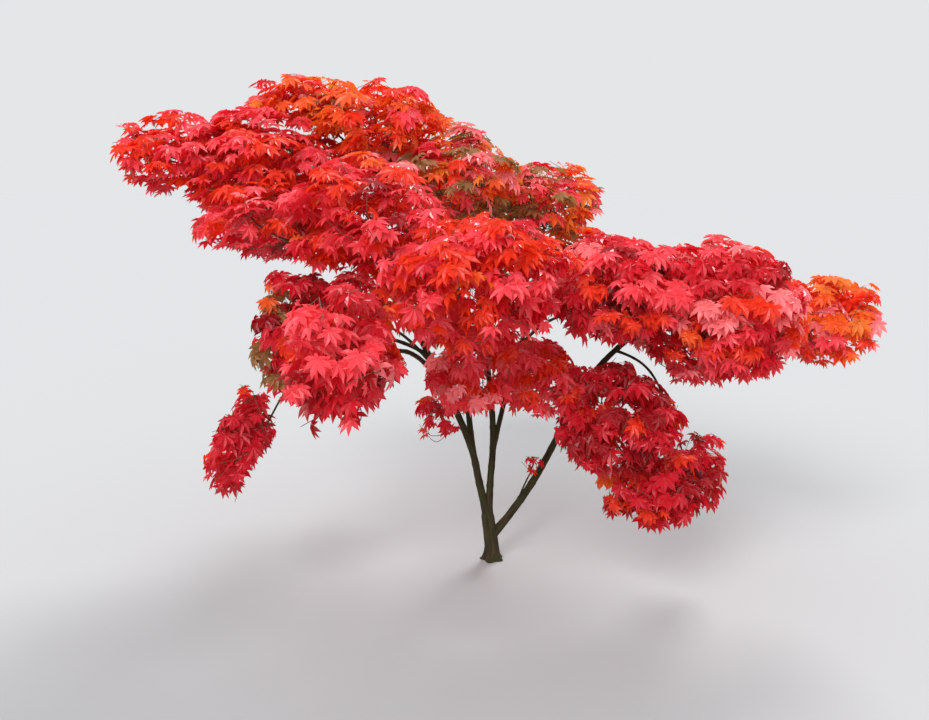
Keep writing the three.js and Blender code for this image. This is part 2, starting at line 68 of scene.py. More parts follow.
# The trunk leans left as it rises. Its foot spreads into low root ridges, and its head is rounded over.
TRUNK = dict(
    height=0.228, sunk=0.006, lean=-0.026, upright_to=0.35, bend_at=0.7, bend_share=0.6,
    foot_radius=0.047, waist_radius=0.031, top_radius=0.027, flare_height=0.075,
    ridges=5, ridge_share=0.13, head_from=0.78, head_least=0.2,
)

# Stems: the limb that each leaves, where along it, its radius at foot and tip, the points that it passes,
# and the mass of foliage that it ends in.
STEMS = {
    "left_stem": (
        "trunk", 0.72, (0.0175, 0.008),
        [(-0.057, -0.003, 0.345), (-0.087, -0.015, 0.487), (-0.205, -0.06, 0.78), (-0.33, -0.1, 1.03),
         (-0.56, -0.09, 1.34)],
        "left_arm",
    ),
    "middle_stem": (
        "trunk", 0.76, (0.0165, 0.0075),
        [(-0.01, 0.002, 0.335), (0.001, 0, 0.524), (-0.014, 0.012, 0.76), (-0.046, 0.03, 1)],
        "shoulder",
    ),
    "right_stem": (
        "trunk", 0.45, (0.0175, 0.008),
        [(0.058, 0, 0.178), (0.178, 0, 0.359), (0.31, 0, 0.623), (0.409, -0.005, 0.809), (0.64, -0.03, 1.01)],
        "right_tip",
    ),
    "upright_stem": (
        "left_stem", 0.2, (0.0135, 0.007),
        [(-0.099, 0.05, 0.61), (-0.12, 0.095, 0.86), (-0.22, 0.11, 1.2), (-0.35, 0.09, 1.47)],
        "top",
    ),
    "fork_stem": (
        "middle_stem", 0.24, (0.0115, 0.0065),
        [(0.042, 0.02, 0.661), (0.105, 0.07, 0.88), (0.18, 0.105, 1.14)],
        "right_shoulder",
    ),
}

# Boughs: the limb that each leaves, where along it, its foot radius, and how far its middle arches up.
BOUGHS = {
    "left_tip": ("left_stem", 0.9, 0.008, 0.04),
    "left_hang": ("left_stem", 0.78, 0.008, 0.05),
    "left_low": ("left_stem", 0.5, 0.009, 0.06),
    "left_tail": ("left_low", 0.72, 0.006, 0.15),
    "low_left": ("left_stem", 0.26, 0.0055, 0.025),
    "front_left": ("left_stem", 0.42, 0.011, 0.11),
    "back_low_left": ("left_stem", 0.46, 0.008, 0.05),
    "top_left": ("upright_stem", 0.84, 0.007, 0.03),
    "back_left": ("upright_stem", 0.56, 0.009, 0.07),
    "back_high": ("upright_stem", 0.68, 0.008, 0.04),
    "front_high": ("upright_stem", 0.6, 0.009, 0.06),
    "front_centre": ("middle_stem", 0.56, 0.01, 0.09),
    "low_centre": ("middle_stem", 0.36, 0.0065, 0.06),
    "back_centre": ("middle_stem", 0.62, 0.0095, 0.07),
    "back_far": ("middle_stem", 0.48, 0.0095, 0.11),
    "low_middle": ("fork_stem", 0.26, 0.006, 0.06),
    "right_inner": ("fork_stem", 0.5, 0.008, 0.05),
    "back_right": ("fork_stem", 0.58, 0.0085, 0.07),
    "right_mid": ("right_stem", 0.66, 0.0095, 0.05),
    "low_right": ("right_stem", 0.36, 0.0085, 0.11),
    "low_right_foot": ("low_right", 0.45, 0.0055, 0.06),
    "low_right_tail": ("right_stem", 0.6, 0.006, 0.15),
    "back_far_right": ("right_stem", 0.58, 0.009, 0.07),
    "shoot": ("right_stem", 0.09, 0.0045, 0.004),
}
# A bough's tip radius, how much of its limb's heading it takes, and where its arch bends and is highest.
BOUGH = {"tip_share": 0.55, "tip_least": 0.0035, "heading_share": 0.4, "bend_part": 3, "top_at": 0.62}
TAPER_POWER = 0.8
LIMB_STEP = 0.012
# How far into a mass a limb runs, as a share of the way from the mass's middle to its edge.
LIMB_END = 0.8
ENTRY_STEPS = 40

# Foliage masses: the middle of each one, its half sizes across, back and up, its main twigs and its tone.
# Some tones paint light or shade: lighter tints on masses that lie in shade, darker tints on the low masses.
MASSES = {
    "left_tip": ((-1.24, -0.06, 1.68), (0.235, 0.27, 0.18), 5, "painted_light"),
    "left_arm": ((-0.9, -0.04, 1.63), (0.34, 0.39, 0.23), 6, "painted_light"),
    "left_hang": ((-0.84, -0.42, 1.43), (0.23, 0.3, 0.16), 5, "painted_light"),
    "left_low": ((-0.7, -0.48, 1.05), (0.17, 0.3, 0.25), 4, "turning"),
    "left_tail": ((-0.935, -0.42, 0.63), (0.15, 0.205, 0.25), 5, "deep_red"),
    "low_left": ((-0.235, -0.06, 0.635), (0.13, 0.13, 0.1), 3, "deep_red"),
    "top_left": ((-0.755, 0.14, 1.88), (0.26, 0.29, 0.13), 4, "sunlit"),
    "top": ((-0.46, 0.06, 1.79), (0.315, 0.37, 0.185), 5, "sunlit"),
    "shoulder": ((-0.13, -0.055, 1.59), (0.26, 0.4, 0.225), 4, "mottled"),
    "right_shoulder": ((0.22, 0.13, 1.49), (0.25, 0.345, 0.19), 5, "mottled"),
    "front_high": ((-0.46, -0.565, 1.46), (0.29, 0.37, 0.225), 5, "painted_light"),
    "front_centre": ((-0.1, -0.7, 1.27), (0.33, 0.365, 0.27), 6, "painted_light"),
    "front_left": ((-0.46, -1.11, 1.085), (0.19, 0.335, 0.225), 6, "rosy"),
    "right_inner": ((0.43, -0.38, 1.19), (0.29, 0.37, 0.205), 5, "crimson"),
    "right_mid": ((0.8, -0.3, 1.1), (0.328, 0.415, 0.285), 9, "crimson"),
    "right_tip": ((1.285, -0.06, 1.04), (0.265, 0.285, 0.205), 5, "orange_red"),
    "low_centre": ((-0.1, -0.42, 0.905), (0.21, 0.23, 0.18), 4, "pale"),
    "low_middle": ((0.17, -0.33, 0.86), (0.19, 0.24, 0.16), 3, "pale"),
    "low_right": ((0.44, -0.4, 0.72), (0.26, 0.265, 0.235), 6, "deep_red"),
    "low_right_foot": ((0.588, -0.4, 0.465), (0.248, 0.225, 0.182), 6, "deep_red"),
    "low_right_tail": ((0.82, -0.16, 0.44), (0.13, 0.16, 0.19), 3, "deep_red"),
    "back_low_left": ((-0.62, 0.52, 1.01), (0.25, 0.27, 0.15), 4, "deep_red"),
    "back_left": ((-0.98, 0.56, 1.4), (0.31, 0.33, 0.19), 5, "crimson"),
    "back_high": ((-0.48, 0.62, 1.6), (0.33, 0.34, 0.18), 4, "scarlet"),
    "back_centre": ((-0.02, 0.68, 1.4), (0.32, 0.34, 0.19), 5, "scarlet"),
    "back_right": ((0.42, 0.56, 1.195), (0.345, 0.36, 0.185), 5, "scarlet"),
    "back_far": ((-0.35, 1.08, 1.23), (0.37, 0.28, 0.17), 5, "crimson"),
    "back_far_right": ((0.82, 0.3, 1.08), (0.33, 0.345, 0.17), 4, "scarlet"),
    "shoot": ((0.165, -0.03, 0.415), (0.062, 0.062, 0.062), 3, "deep_red"),
}
MASS_NAMES = list(MASSES)
MIDDLES = np.array([mass[0] for mass in MASSES.values()])
HALVES = np.array([mass[1] for mass in MASSES.values()])
# A mass's own space stops this much short of its neighbours', in the measure of `depths`, and of the ground.
CELL_MARGIN = 0.03
GROUND_ROOM = 0.02

# The model's own streams of random numbers, and where each kind starts. Each mass adds its own number to its
# seed, and each leaf shape its own.
DICE = dict(spread=2654435761, factor=1664525, step=1013904223, size=2**32)
SEEDS = {"main_twigs": 1, "fine_twigs": 500, "leaves": 1000, "leaf_shapes": 900}

# The main twigs, by the model's own rule. `path_share` weighs the way already grown when a twig looks for
# its parent. ENDS spreads their ends from a mass's top to its underside, with the droop of the model's leaf.
# END_TRIES: a twig's end may lie this share of the way to the edge, and its leaf lose this much droop.
TWIG = dict(
    stem_length=0.045, stem_share=0.4, path_share=0.35, shortest=0.02,
    step=0.015, room=0.008, limbs_within=0.06,
)
ENDS = {"depth": 2, "sway": 0.5, "top": 0.35, "side": 0.7, "spread": 0.3, "least": 0.1}
END_TRIES = [(share, lift) for share in (0.99, 0.86, 0.73, 0.6) for lift in (0, 0.45, 0.9)]
MODEL_LEAF = {"length": 0.165, "full_size_half": 0.185, "least_share": 0.42, "stalk_share": 0.22}
GOLDEN_TURN = 2.39996

# The finer twigs between them: how far apart their ends are, how much more a rise counts than a level
# distance, the part of a mass that they fill, and the tiers that they lie in, which sag towards its edge.
FINE = dict(
    spacing=0.074, most_spacing=0.75, throws=4.2, rise=1.5,
    inner=0.4, inner_keep=0.35, outer=0.95,
    tier_gap=0.085, tier_reach=0.88, tier_sag=0.35, tier_spread=0.35,
    tries=8, sharpest_turn=-0.1,
)
# The thinnest twig's radius, the steps of a smooth path from knot to knot, and a twig's sides.
FINE_RADIUS = 0.0009
SMOOTH_STEPS = 4
TWIG_SIDES = 5
# A stem's radius at its end, as a share of that at its foot, and the most that a side twig's foot has, as a
# share of its next knot's.
STEM_END = 0.95
SIDE_FOOT = 1.15

# One leaf, at its real size: seven pointed lobes, each with its turn in degrees and its reach as a share of
# the blade's length. A fold is how far a spot lies above the ribs, as a share of the crease between them.
LEAF = dict(
    length=0.062, middle=0.4, notch=0.5, heart_notch=0.07, heart_turn=165, rib_at=0.55, tip_fold=0.2,
    lobes=[(-119, 0.42), (-77, 0.8), (-38, 0.96), (0, 1), (38, 0.96), (77, 0.8), (119, 0.42)],
    wide_at=0.61, half_width=0.162, width_power=0.7,
    narrow_at=0.84, narrow_width=0.066, narrow_fold=0.7, narrow_from_reach=0.6,
    stalk=0.036, stalk_radius=0.0008, stalk_sides=3,
    stalk_rings=[(0, 0, 1), (0.55, 0.0022, 0.85), (1, 0, 0.8)],
)
LEAF_SHAPES = 10
# How the shapes differ: how far the blade hangs below its stalk, in degrees, its curl, the crease between
# its ribs, and its lobes' own turn and reach.
SHAPE_SPREAD = dict(hang=(12, 46), curl=(0.06, 0.3), crease=(0.05, 0.11), turn=(-4, 4), reach=(0.92, 1.05))
# Where a twig bears its opposite pairs: the share of its length and the turn to each side, in radians. A twig
# that carries more others than LEAFY_LOAD is bare.
END_PAIRS = [(1, 0.42), (0.72, 0.95), (0.42, 1.2)]
SIDE_PAIRS = [(0.8, 0.9), (0.4, 1.15)]
LEAFY_LOAD = 5
# Which way a twig's leaves look: how much each way counts, and how much chance turns it.
LOOK = {"outward": 0.5, "from_trunk": 0.65, "along": 0.5, "sway": 0.8}
# How far they droop: at least, more at a mass's edge and on its underside, and less in the upper crown,
# from a height on and over a rise.
DROOP = {"least": 0.28, "edge": 0.36, "under": 0.34, "upper": 0.46, "from": 1.1, "rise": 0.5, "spread": 0.5}
# A leaf's size, and how much chance changes its size, turn, droop and roll. A small mass has smaller leaves.
OWN_SIZE = {"least": 0.6, "full_size_half": 0.12, "base": 0.84, "spread": 0.3}
OWN_SWAY = {"turn": 0.5, "droop": 0.4, "roll": 0.7}
# How far a blade's middle stays from another's, and its tips from a limb.
BLADE_ROOM = 0.018
LIMB_ROOM = 0.01
# A blade stays inside the mass's ragged edge, in the measure of `depths`, and stands out of the model's box
# by at most BOX_ROOM. RAGGED is the wave of the edge's bays: its scale, its stretch, and its shift by mass.
REACH = 1.03
BOX_ROOM = 0.012
RAGGED = {"scale": 2.5, "stretch": 1.5, "shift": (7.3, 3.1, 0)}
# How deep the bays in a mass's edge are, and how much further apart its fine twigs end: usual, and its own.
USUAL_FOLIAGE = (0.24, 1)
FOLIAGE = {
    "right_inner": (0.08, 1),
    "right_mid": (0.08, 1),
    "left_arm": (0.08, 1),
    "low_middle": (0.08, 1),
    "left_low": (0.05, 1.15),
    "left_tail": (0.12, 1.05),
    "front_left": (0.28, 1.05),
    "low_right": (0.16, 1),
    "low_right_foot": (0.24, 1.08),
    "low_right_tail": (0.16, 1.2),
}
# Sides on which a mass is flatter: the way to the side, across, back and up, and where its leaves stop.
FLAT_SIDES = {
    "left_tip": [((-1, 0, 0), 0.78), ((0, 0, 1), 0.86)],
    "top_left": [((0, 0, 1), 0.88)],
    "top": [((0.8, 0, 0.6), 0.88)],
    "shoulder": [((0.7, 0, 0.7), 0.76)],
    "right_shoulder": [((1, 0, -0.3), 0.88)],
    "left_hang": [((0, 0, -1), 0.5)],
    "left_low": [((-0.95, 0, 0.3), 0.82)],
    "left_tail": [((-0.8, 0, 0.6), 0.62), ((0.7, 0, -0.7), 0.5)],
    "front_left": [((0.5, 0, -0.86), 0.76)],
    "low_centre": [((-1, 0, 0), 0.82)],
    "low_middle": [((0.8, 0, 0.6), 0.75)],
    "low_right": [((0.3, 0, 0.95), 0.82), ((-1, 0, 0), 0.92)],
    "low_right_foot": [((1, 0, 0), 0.84)],
    "right_mid": [((0.2, 0, -0.98), 0.84)],
}
# What is tried for a leaf until it fits: its size, a further turn and a further droop.
LEAF_TRIES = [(1, 0, 0), (1, 0, 0.4), (0.85, 0.4, 0.25), (0.85, -0.4, 0.25), (0.7, 0, -0.3), (0.7, 0, 0.6)]


def unit(vector):
    return vector / max(np.linalg.norm(vector), 1e-9)


def turned(vector, angle):
    """The vector turned about +Z."""
    cos, sin = math.cos(angle), math.sin(angle)
    x, y, z = vector
    return np.array([x * cos - y * sin, x * sin + y * cos, z])


def dice(seed):
    """A seeded stream of numbers from 0 to 1, the model's own."""
    state = seed * DICE["spread"] % DICE["size"]

    def roll():
        nonlocal state
        state = (state * DICE["factor"] + DICE["step"]) % DICE["size"]
        return state / DICE["size"]

    return roll


# Limbs


class Line:
    """A limb's centre line, measured along its length from 0 to 1."""

    steps = 200
    nudge = 1e-4

    def __init__(self, spot_at):
        self.spot_at = spot_at
        self.shares = np.linspace(0, 1, self.steps + 1)
        spots = np.array([spot_at(share) for share in self.shares])
        walked = np.cumsum(np.linalg.norm(np.diff(spots, axis=0), axis=1))
        self.lengths = np.concatenate([[0], walked])
        self.length = self.lengths[-1]

    def raw(self, share):
        return float(np.interp(share * self.length, self.lengths, self.shares))

    def point(self, share):
        return self.spot_at(self.raw(share))

    def heading(self, share):
        raw = self.raw(share)
        return unit(self.spot_at(min(1, raw + self.nudge)) - self.spot_at(max(0, raw - self.nudge)))


def arch(a, b, c, d):
    """A cubic arc from a to d, drawn towards b and c."""
    a, b, c, d = (np.array(p, float) for p in (a, b, c, d))
    return lambda t: a * (1 - t) ** 3 + b * 3 * t * (1 - t) ** 2 + c * 3 * t * t * (1 - t) + d * t**3


def spline(points):
    """A smooth curve through the points, with the even pull that keeps it from looping."""
    spots = [np.array(p, float) for p in points]
    spots = [2 * spots[0] - spots[1], *spots, 2 * spots[-1] - spots[-2]]
    pulls = [math.sqrt(np.linalg.norm(q - p)) or 1 for p, q in zip(spots, spots[1:])]
    last = len(points) - 2

    def spot_at(t):
        place = t * (last + 1)
        i = min(int(place), last)
        w = place - i
        p0, p1, p2, p3 = spots[i : i + 4]
        d0, d1, d2 = pulls[i : i + 3]
        out = ((p1 - p0) / d0 - (p2 - p0) / (d0 + d1) + (p2 - p1) / d1) * d1
        back = ((p2 - p1) / d1 - (p3 - p1) / (d1 + d2) + (p3 - p2) / d2) * d1
        curve = (2 * p1 - 2 * p2 + out + back) * w**3
        return p1 + out * w + (3 * p2 - 3 * p1 - 2 * out - back) * w * w + curve

    return spot_at


def depths(spots):
    """How far each spot is from each mass's middle, as a share of the mass's half sizes."""
    return np.linalg.norm((np.atleast_2d(spots)[:, None] - MIDDLES) / HALVES, axis=2)


def in_own_space(index, spots):
    """Whether each spot is nearer to this mass than to every other, in that measure."""
    measured = depths(spots)
    own = measured[:, index]
    nearest_other = np.delete(measured, index, axis=1).min(axis=1)
    high_enough = np.atleast_2d(spots)[:, 2] >= GROUND_ROOM
    return (own <= 1) & high_enough & (nearest_other > own + CELL_MARGIN)


def ragged_edge(index, spot):
    """How far out leaves grow in this direction: clusters that stand out, with bays between them."""
    way = unit((spot - MIDDLES[index]) / HALVES[index]) * RAGGED["scale"]
    wave = noise.noise(Vector(way) + Vector([index * shift for shift in RAGGED["shift"]]))
    bay, _ = FOLIAGE.get(MASS_NAMES[index], USUAL_FOLIAGE)
    return REACH - bay * min(1, max(0, 0.5 + RAGGED["stretch"] * wave))


def past_flat_side(index, spots):
    """Whether any spot lies beyond a side on which the mass is flatter."""
    out = (spots - MIDDLES[index]) / HALVES[index]
    return any((out @ np.array(side)).max() > stop for side, stop in FLAT_SIDES.get(MASS_NAMES[index], ()))


def entry_point(name, start):
    """Where a limb that comes from `start` ends inside a mass's own space."""
    index = MASS_NAMES.index(name)
    middle = MIDDLES[index]
    shares = np.arange(1, ENTRY_STEPS) / ENTRY_STEPS
    spots = middle + (np.array(start) - middle) * shares[:, None]
    inside = in_own_space(index, spots)
    count = len(inside) if inside.all() else int(np.argmin(inside))
    edge = spots[count - 1] if count else middle
    return middle + (edge - middle) * LIMB_END


limbs = {}


def add_limb(name, line, radius_at, parent=None, at=0):
    count = math.ceil(line.length / LIMB_STEP) + 1
    shares = np.linspace(0, 1, count)
    limbs[name] = {
        "line": line,
        "radius_at": radius_at,
        "spots": np.array([line.point(share) for share in shares]),
        "radii": np.array([radius_at(share) for share in shares]),
        "sunk": limbs[parent]["radius_at"](at) if parent else 0,
    }


def trunk_radius(share, angle=0.0):
    flare = max(0.0, 1 - share * TRUNK["height"] / TRUNK["flare_height"]) ** 2
    waist = TRUNK["waist_radius"] + (TRUNK["top_radius"] - TRUNK["waist_radius"]) * share
    round_radius = waist + (TRUNK["foot_radius"] - TRUNK["waist_radius"]) * flare
    rise = max(0.0, share - TRUNK["head_from"]) / (1 - TRUNK["head_from"])
    head = max(TRUNK["head_least"], math.sqrt(1 - min(1, rise) ** 2))
    return round_radius * head * (1 - TRUNK["ridge_share"] * flare * math.cos(TRUNK["ridges"] * angle))


def taper(foot, tip):
    return lambda share, angle=0.0: foot + (tip - foot) * share**TAPER_POWER


def grow_limbs():
    height, lean = TRUNK["height"], TRUNK["lean"]
    upright = (0, 0, height * TRUNK["upright_to"])
    bend = (lean * TRUNK["bend_share"], 0, height * TRUNK["bend_at"])
    trunk = Line(arch((0, 0, -TRUNK["sunk"]), upright, bend, (lean, 0, height)))
    add_limb("trunk", trunk, trunk_radius)
    for name, (parent, at, thick, via, mass) in STEMS.items():
        start = limbs[parent]["line"].point(at)
        line = Line(spline([start, *via, entry_point(mass, via[-1])]))
        add_limb(name, line, taper(*thick), parent, at)
    for name, (source, at, foot, lift) in BOUGHS.items():
        parent = source if source in limbs else f"bough_{source}"
        line = limbs[parent]["line"]
        start = line.point(at)
        end = entry_point(name, start)
        away = end - start
        leaving = unit(line.heading(at) * BOUGH["heading_share"] + unit(away) * (1 - BOUGH["heading_share"]))
        bend = start + leaving * np.linalg.norm(away) / BOUGH["bend_part"]
        top = start + away * BOUGH["top_at"] + np.array([0, 0, lift])
        tip = max(BOUGH["tip_least"], foot * BOUGH["tip_share"])
        add_limb(f"bough_{name}", Line(arch(start, bend, top, end)), taper(foot, tip), parent, at)


# Twigs


class Knot:
    """The end of one twig, and the twig back to its parent."""

    def __init__(self, spot, parent=None):
        self.spot = spot
        self.parent = parent
        self.path = parent.path + np.linalg.norm(spot - parent.spot) if parent else 0.0
        self.load = 1 if parent else 0
        self.kids = []
        self.flat = None
        self.level = 0.0
        self.droop = 0.0
        self.way = None
        self.is_leafy = False
        if parent:
            parent.kids.append(self)


def stem_of(name):
    """A mass's own stem, which grows on from the tip of the limb that carries it."""
    carrier = next((stem for stem, row in STEMS.items() if row[4] == name), f"bough_{name}")
    line = limbs[carrier]["line"]
    end, heading = line.point(1), line.heading(1)
    length = min(TWIG["stem_length"], min(MASSES[name][1]) * TWIG["stem_share"])
    radius = limbs[carrier]["radius_at"](1)
    return {"foot": end - heading * radius, "tip": end + heading * length, "radius": radius}


def obstacles_near(index):
    """The limbs' centre spots and radii around a mass."""
    reach = max(HALVES[index]) + TWIG["limbs_within"]
    spots = np.concatenate([limb["spots"] for limb in limbs.values()])
    radii = np.concatenate([limb["radii"] for limb in limbs.values()])
    near = np.linalg.norm(spots - MIDDLES[index], axis=1) < reach
    return spots[near], radii[near]


def clear_of(obstacles, spots, room):
    centres, radii = obstacles
    if not len(centres):
        return True
    gaps = np.linalg.norm(np.atleast_2d(spots)[:, None] - centres, axis=2) - radii
    return gaps.min() >= room


def leaf_heading(flat, droop):
    """The way a leaf's middle lobe points: outward and drooping."""
    level = flat * math.cos(droop)
    return np.array([level[0], level[1], -math.sin(droop)])


def main_ends(index, random):
    """The ends of a mass's main twigs, spread evenly from its top down to its underside."""
    middle, half, count, _ = list(MASSES.values())[index]
    middle, half = np.array(middle), np.array(half)
    size = min(1, max(MODEL_LEAF["least_share"], min(half) / MODEL_LEAF["full_size_half"]))
    back_off = MODEL_LEAF["length"] * size * (1 + MODEL_LEAF["stalk_share"])
    outward = math.atan2(middle[1], middle[0])
    for n in range(count):
        level = 1 - ENDS["depth"] * (n + 0.5) / count
        turn = outward + (n - count // 2) * GOLDEN_TURN + ENDS["sway"] * (random() - 0.5)
        sway = ENDS["sway"] * (random() - 0.5)
        droop = ENDS["top"] + ENDS["side"] * (1 - max(0, level)) + ENDS["spread"] * (random() - 0.5)
        ring = math.sqrt(1 - level * level)
        away = np.array([ring * math.cos(turn), ring * math.sin(turn), level])
        flat = turned(unit(away * [1, 1, 0]), sway)
        for share, lift in END_TRIES:
            tip = middle + away * share * half
            spot = tip - leaf_heading(flat, max(ENDS["least"], droop - lift)) * back_off
            if in_own_space(index, np.array([tip, spot])).all():
                yield spot
                break


def fine_ends(index, random):
    """More ends between the main ones, an even distance apart and mostly in the outer part of the mass."""
    middle, half = MIDDLES[index], HALVES[index]
    _, looseness = FOLIAGE.get(MASS_NAMES[index], USUAL_FOLIAGE)
    spacing = min(FINE["spacing"], min(half) * FINE["most_spacing"]) * looseness
    count = int(8 * np.prod(half) * FINE["throws"] * FINE["rise"] / spacing**3)
    rolls = np.array([random() for _ in range(count * 4)]).reshape(count, 4)
    level = rolls[:, 0] * 2 - 1
    turn = rolls[:, 1] * 2 * math.pi
    ring = np.sqrt(1 - level * level)
    depth = np.cbrt(rolls[:, 2]) * FINE["outer"]
    away = np.stack([ring * np.cos(turn), ring * np.sin(turn), level], axis=1)
    spots = middle + away * depth[:, None] * half
    top = half[2] * FINE["tier_reach"]
    tiers = max(1, round(2 * top / FINE["tier_gap"]))
    gap = 2 * top / tiers
    sag = FINE["tier_sag"] * half[2] * (depth * ring) ** 2
    height = (spots[:, 2] - middle[2] + sag + top) / gap
    tier = np.clip(np.round(height), 0, tiers)
    spots[:, 2] = middle[2] - top - sag + gap * (tier + FINE["tier_spread"] * np.clip(height - tier, -1, 1))
    kept = in_own_space(index, spots) & ((depth > FINE["inner"]) | (rolls[:, 3] < FINE["inner_keep"]))
    kept &= depths(spots)[:, index] < [ragged_edge(index, spot) * FINE["outer"] for spot in spots]
    kept &= [not past_flat_side(index, spot[None]) for spot in spots]
    stretch = np.array([1, 1, FINE["rise"]])
    found = []
    for spot in spots[kept]:
        if not found or np.linalg.norm((np.array(found) - spot) * stretch, axis=1).min() >= spacing:
            found.append(spot)
    return found


def is_open_way(obstacles, start, end):
    steps = max(1, math.ceil(np.linalg.norm(end - start) / TWIG["step"]))
    spots = start + (end - start) * (np.arange(1, steps + 1) / steps)[:, None]
    return bool((depths(spots).min(axis=1) <= 1).all()) and clear_of(obstacles, spots, TWIG["room"])


def is_gentle_turn(knot, spot):
    """Whether a twig that carries on from the knot to the spot doesn't turn back on itself."""
    if not knot.parent:
        return True
    return unit(knot.spot - knot.parent.spot) @ unit(spot - knot.spot) > FINE["sharpest_turn"]


def join_ends(knots, ends, obstacles, tries):
    """Each end joins the nearest of what has grown so far, where the way to it is open."""
    for spot in sorted(ends, key=lambda end: np.linalg.norm(end - knots[0].spot)):
        places = np.array([knot.spot for knot in knots])
        steps = np.linalg.norm(places - spot, axis=1)
        cost = steps + TWIG["path_share"] * np.array([knot.path for knot in knots])
        for choice in np.argsort(cost)[:tries]:
            if steps[choice] < TWIG["shortest"]:
                break
            turns_well = tries == 1 or is_gentle_turn(knots[choice], spot)
            if turns_well and is_open_way(obstacles, knots[choice].spot, spot):
                knots.append(Knot(spot, knots[choice]))
                break


def aim(knot, index, random):
    """Where a twig's leaves look: away from the trunk, out of the mass and on along the twig, and down."""
    out = (knot.spot - MIDDLES[index]) / HALVES[index]
    way = unit((knot.spot - knot.parent.spot) * [1, 1, 0])
    outward = unit(out / HALVES[index] * [1, 1, 0])
    from_trunk = unit(knot.spot * [1, 1, 0])
    look = outward * LOOK["outward"] + from_trunk * LOOK["from_trunk"] + way * LOOK["along"]
    knot.flat = turned(unit(look), LOOK["sway"] * (random() - 0.5))
    knot.level = out[2]
    edge = min(1, np.linalg.norm(out[:2]))
    under = 1 - max(0, out[2])
    height = min(1, max(0, (knot.spot[2] - DROOP["from"]) / DROOP["rise"]))
    knot.droop = DROOP["least"] + DROOP["edge"] * edge + DROOP["under"] * under - DROOP["upper"] * height
    knot.droop += DROOP["spread"] * (random() - 0.5)


def grow_twigs(index):
    """All the twigs of one mass, as knots that branch from its stem."""
    name = MASS_NAMES[index]
    stem = stem_of(name)
    obstacles = obstacles_near(index)
    knots = [Knot(stem["tip"])]
    join_ends(knots, list(main_ends(index, dice(index + SEEDS["main_twigs"]))), obstacles, 1)
    random = dice(index + SEEDS["fine_twigs"])
    join_ends(knots, fine_ends(index, random), obstacles, FINE["tries"])
    for knot in knots[1:]:
        below = knot.parent
        while below:
            below.load += 1
            below = below.parent
        aim(knot, index, random)
    return stem, knots, obstacles


def chains_of(knots):
    """Chains of knots: a knot's heaviest twig carries on the chain that comes to it, the others start one."""
    chains = []
    waiting = [[knots[0]]]
    while waiting:
        chain = waiting.pop()
        while chain[-1].kids:
            after = sorted(chain[-1].kids, key=lambda kid: -kid.load)
            waiting.extend([chain[-1], other] for other in after[1:])
            chain.append(after[0])
        if len(chain) > 1:
            chains.append(chain)
    return chains


def twig_paths(stem, knots):
    """Each chain's knots, smooth path and radii. A knot keeps its own stretch, which its leaves grow on."""
    most = max(2, knots[0].load)
    power = math.log(stem["radius"] / FINE_RADIUS) / math.log(most)
    paths = []
    for chain in chains_of(knots):
        is_first = chain[0] is knots[0] and not paths
        spots = [knot.spot for knot in chain]
        radii = [FINE_RADIUS * max(1, knot.load) ** power for knot in chain]
        radii[0] = min(radii[0], radii[1] * (1 if is_first else SIDE_FOOT))
        if is_first:
            spots.insert(0, stem["foot"])
            radii.insert(0, stem["radius"])
            radii[1] = stem["radius"] * STEM_END
        curve = spline(spots)
        count = (len(spots) - 1) * SMOOTH_STEPS
        path = np.array([curve(i / count) for i in range(count + 1)])
        shares = np.arange(count + 1) / SMOOTH_STEPS
        paths.append((chain[1:], path, np.interp(shares, range(len(radii)), radii)))
        first = 1 + is_first
        for i, knot in enumerate(chain[1:], start=first):
            knot.way = path[(i - 1) * SMOOTH_STEPS : i * SMOOTH_STEPS + 1]
    return paths


def leafy_paths(paths):
    """The paths without their bare ends: no twig runs on beyond the last one that bears leaves."""
    for chain, path, radii in paths:
        bare = next((n for n, knot in enumerate(chain[::-1]) if knot.is_leafy), len(chain))
        steps = len(path) - bare * SMOOTH_STEPS
        if bare < len(chain):
            yield path[:steps], radii[:steps]


# Leaves

# What a spray's colour is dealt from, for each tone: tints with their weights, in an order in which
# neighbours are alike. A slow wave through the crown picks part of the tint, so that sprays near each other
# match, and the underside of a mass, below a level, takes more from the darker start of the list: painted
# shade.
TINTS = {
    "scarlet": dict(wine=0.5, deep_red=2, crimson=4, rose=3, scarlet=6, orange_red=3, bronze=0.5),
    # Painted light: lighter tints that stand in for sun on the upper left and front masses, which lie in
    # shade.
    "painted_light": dict(deep_red=1, crimson=4, rose=5, scarlet=6, pale_rose=1, orange_red=1.5),
    "sunlit": dict(crimson=2, rose=3, scarlet=4, pale_rose=1, orange_red=5, orange=2, bronze=1),
    "crimson": dict(wine=1, deep_red=2, crimson=5, rose=6, pale_rose=3, scarlet=4, orange_red=1),
    "rosy": dict(wine=1.5, deep_red=4, crimson=5, rose=5, pale_rose=1.5, scarlet=3, orange_red=1),
    # Painted light: pale, bright tints for the low middle masses, which lie in the crown's shade.
    "pale": dict(crimson=1, rose=9, pale_rose=3.5, scarlet=5, orange_red=1.5),
    # Partly the leaves' own deep crimson, partly painted shade: darker tints for the low masses under the
    # crown.
    "deep_red": dict(wine=1, deep_red=5, crimson=9, scarlet=3, orange_red=0.5),
    "orange_red": dict(crimson=2, rose=2, scarlet=4, pale_rose=2, orange_red=6, orange=3),
    "mottled": dict(crimson=2, rose=4, pale_rose=4, bronze=6, orange_red=3.5, orange=2, scarlet=3),
    "turning": dict(wine=2, deep_red=5, crimson=4, rose=1.5, bronze=2, scarlet=2, orange_red=1.5),
}
TINT_WAVE = {"size": 0.1, "share": 0.42, "stretch": 1.3, "painted_shade_level": -0.35, "painted_shade_share": 0.75}


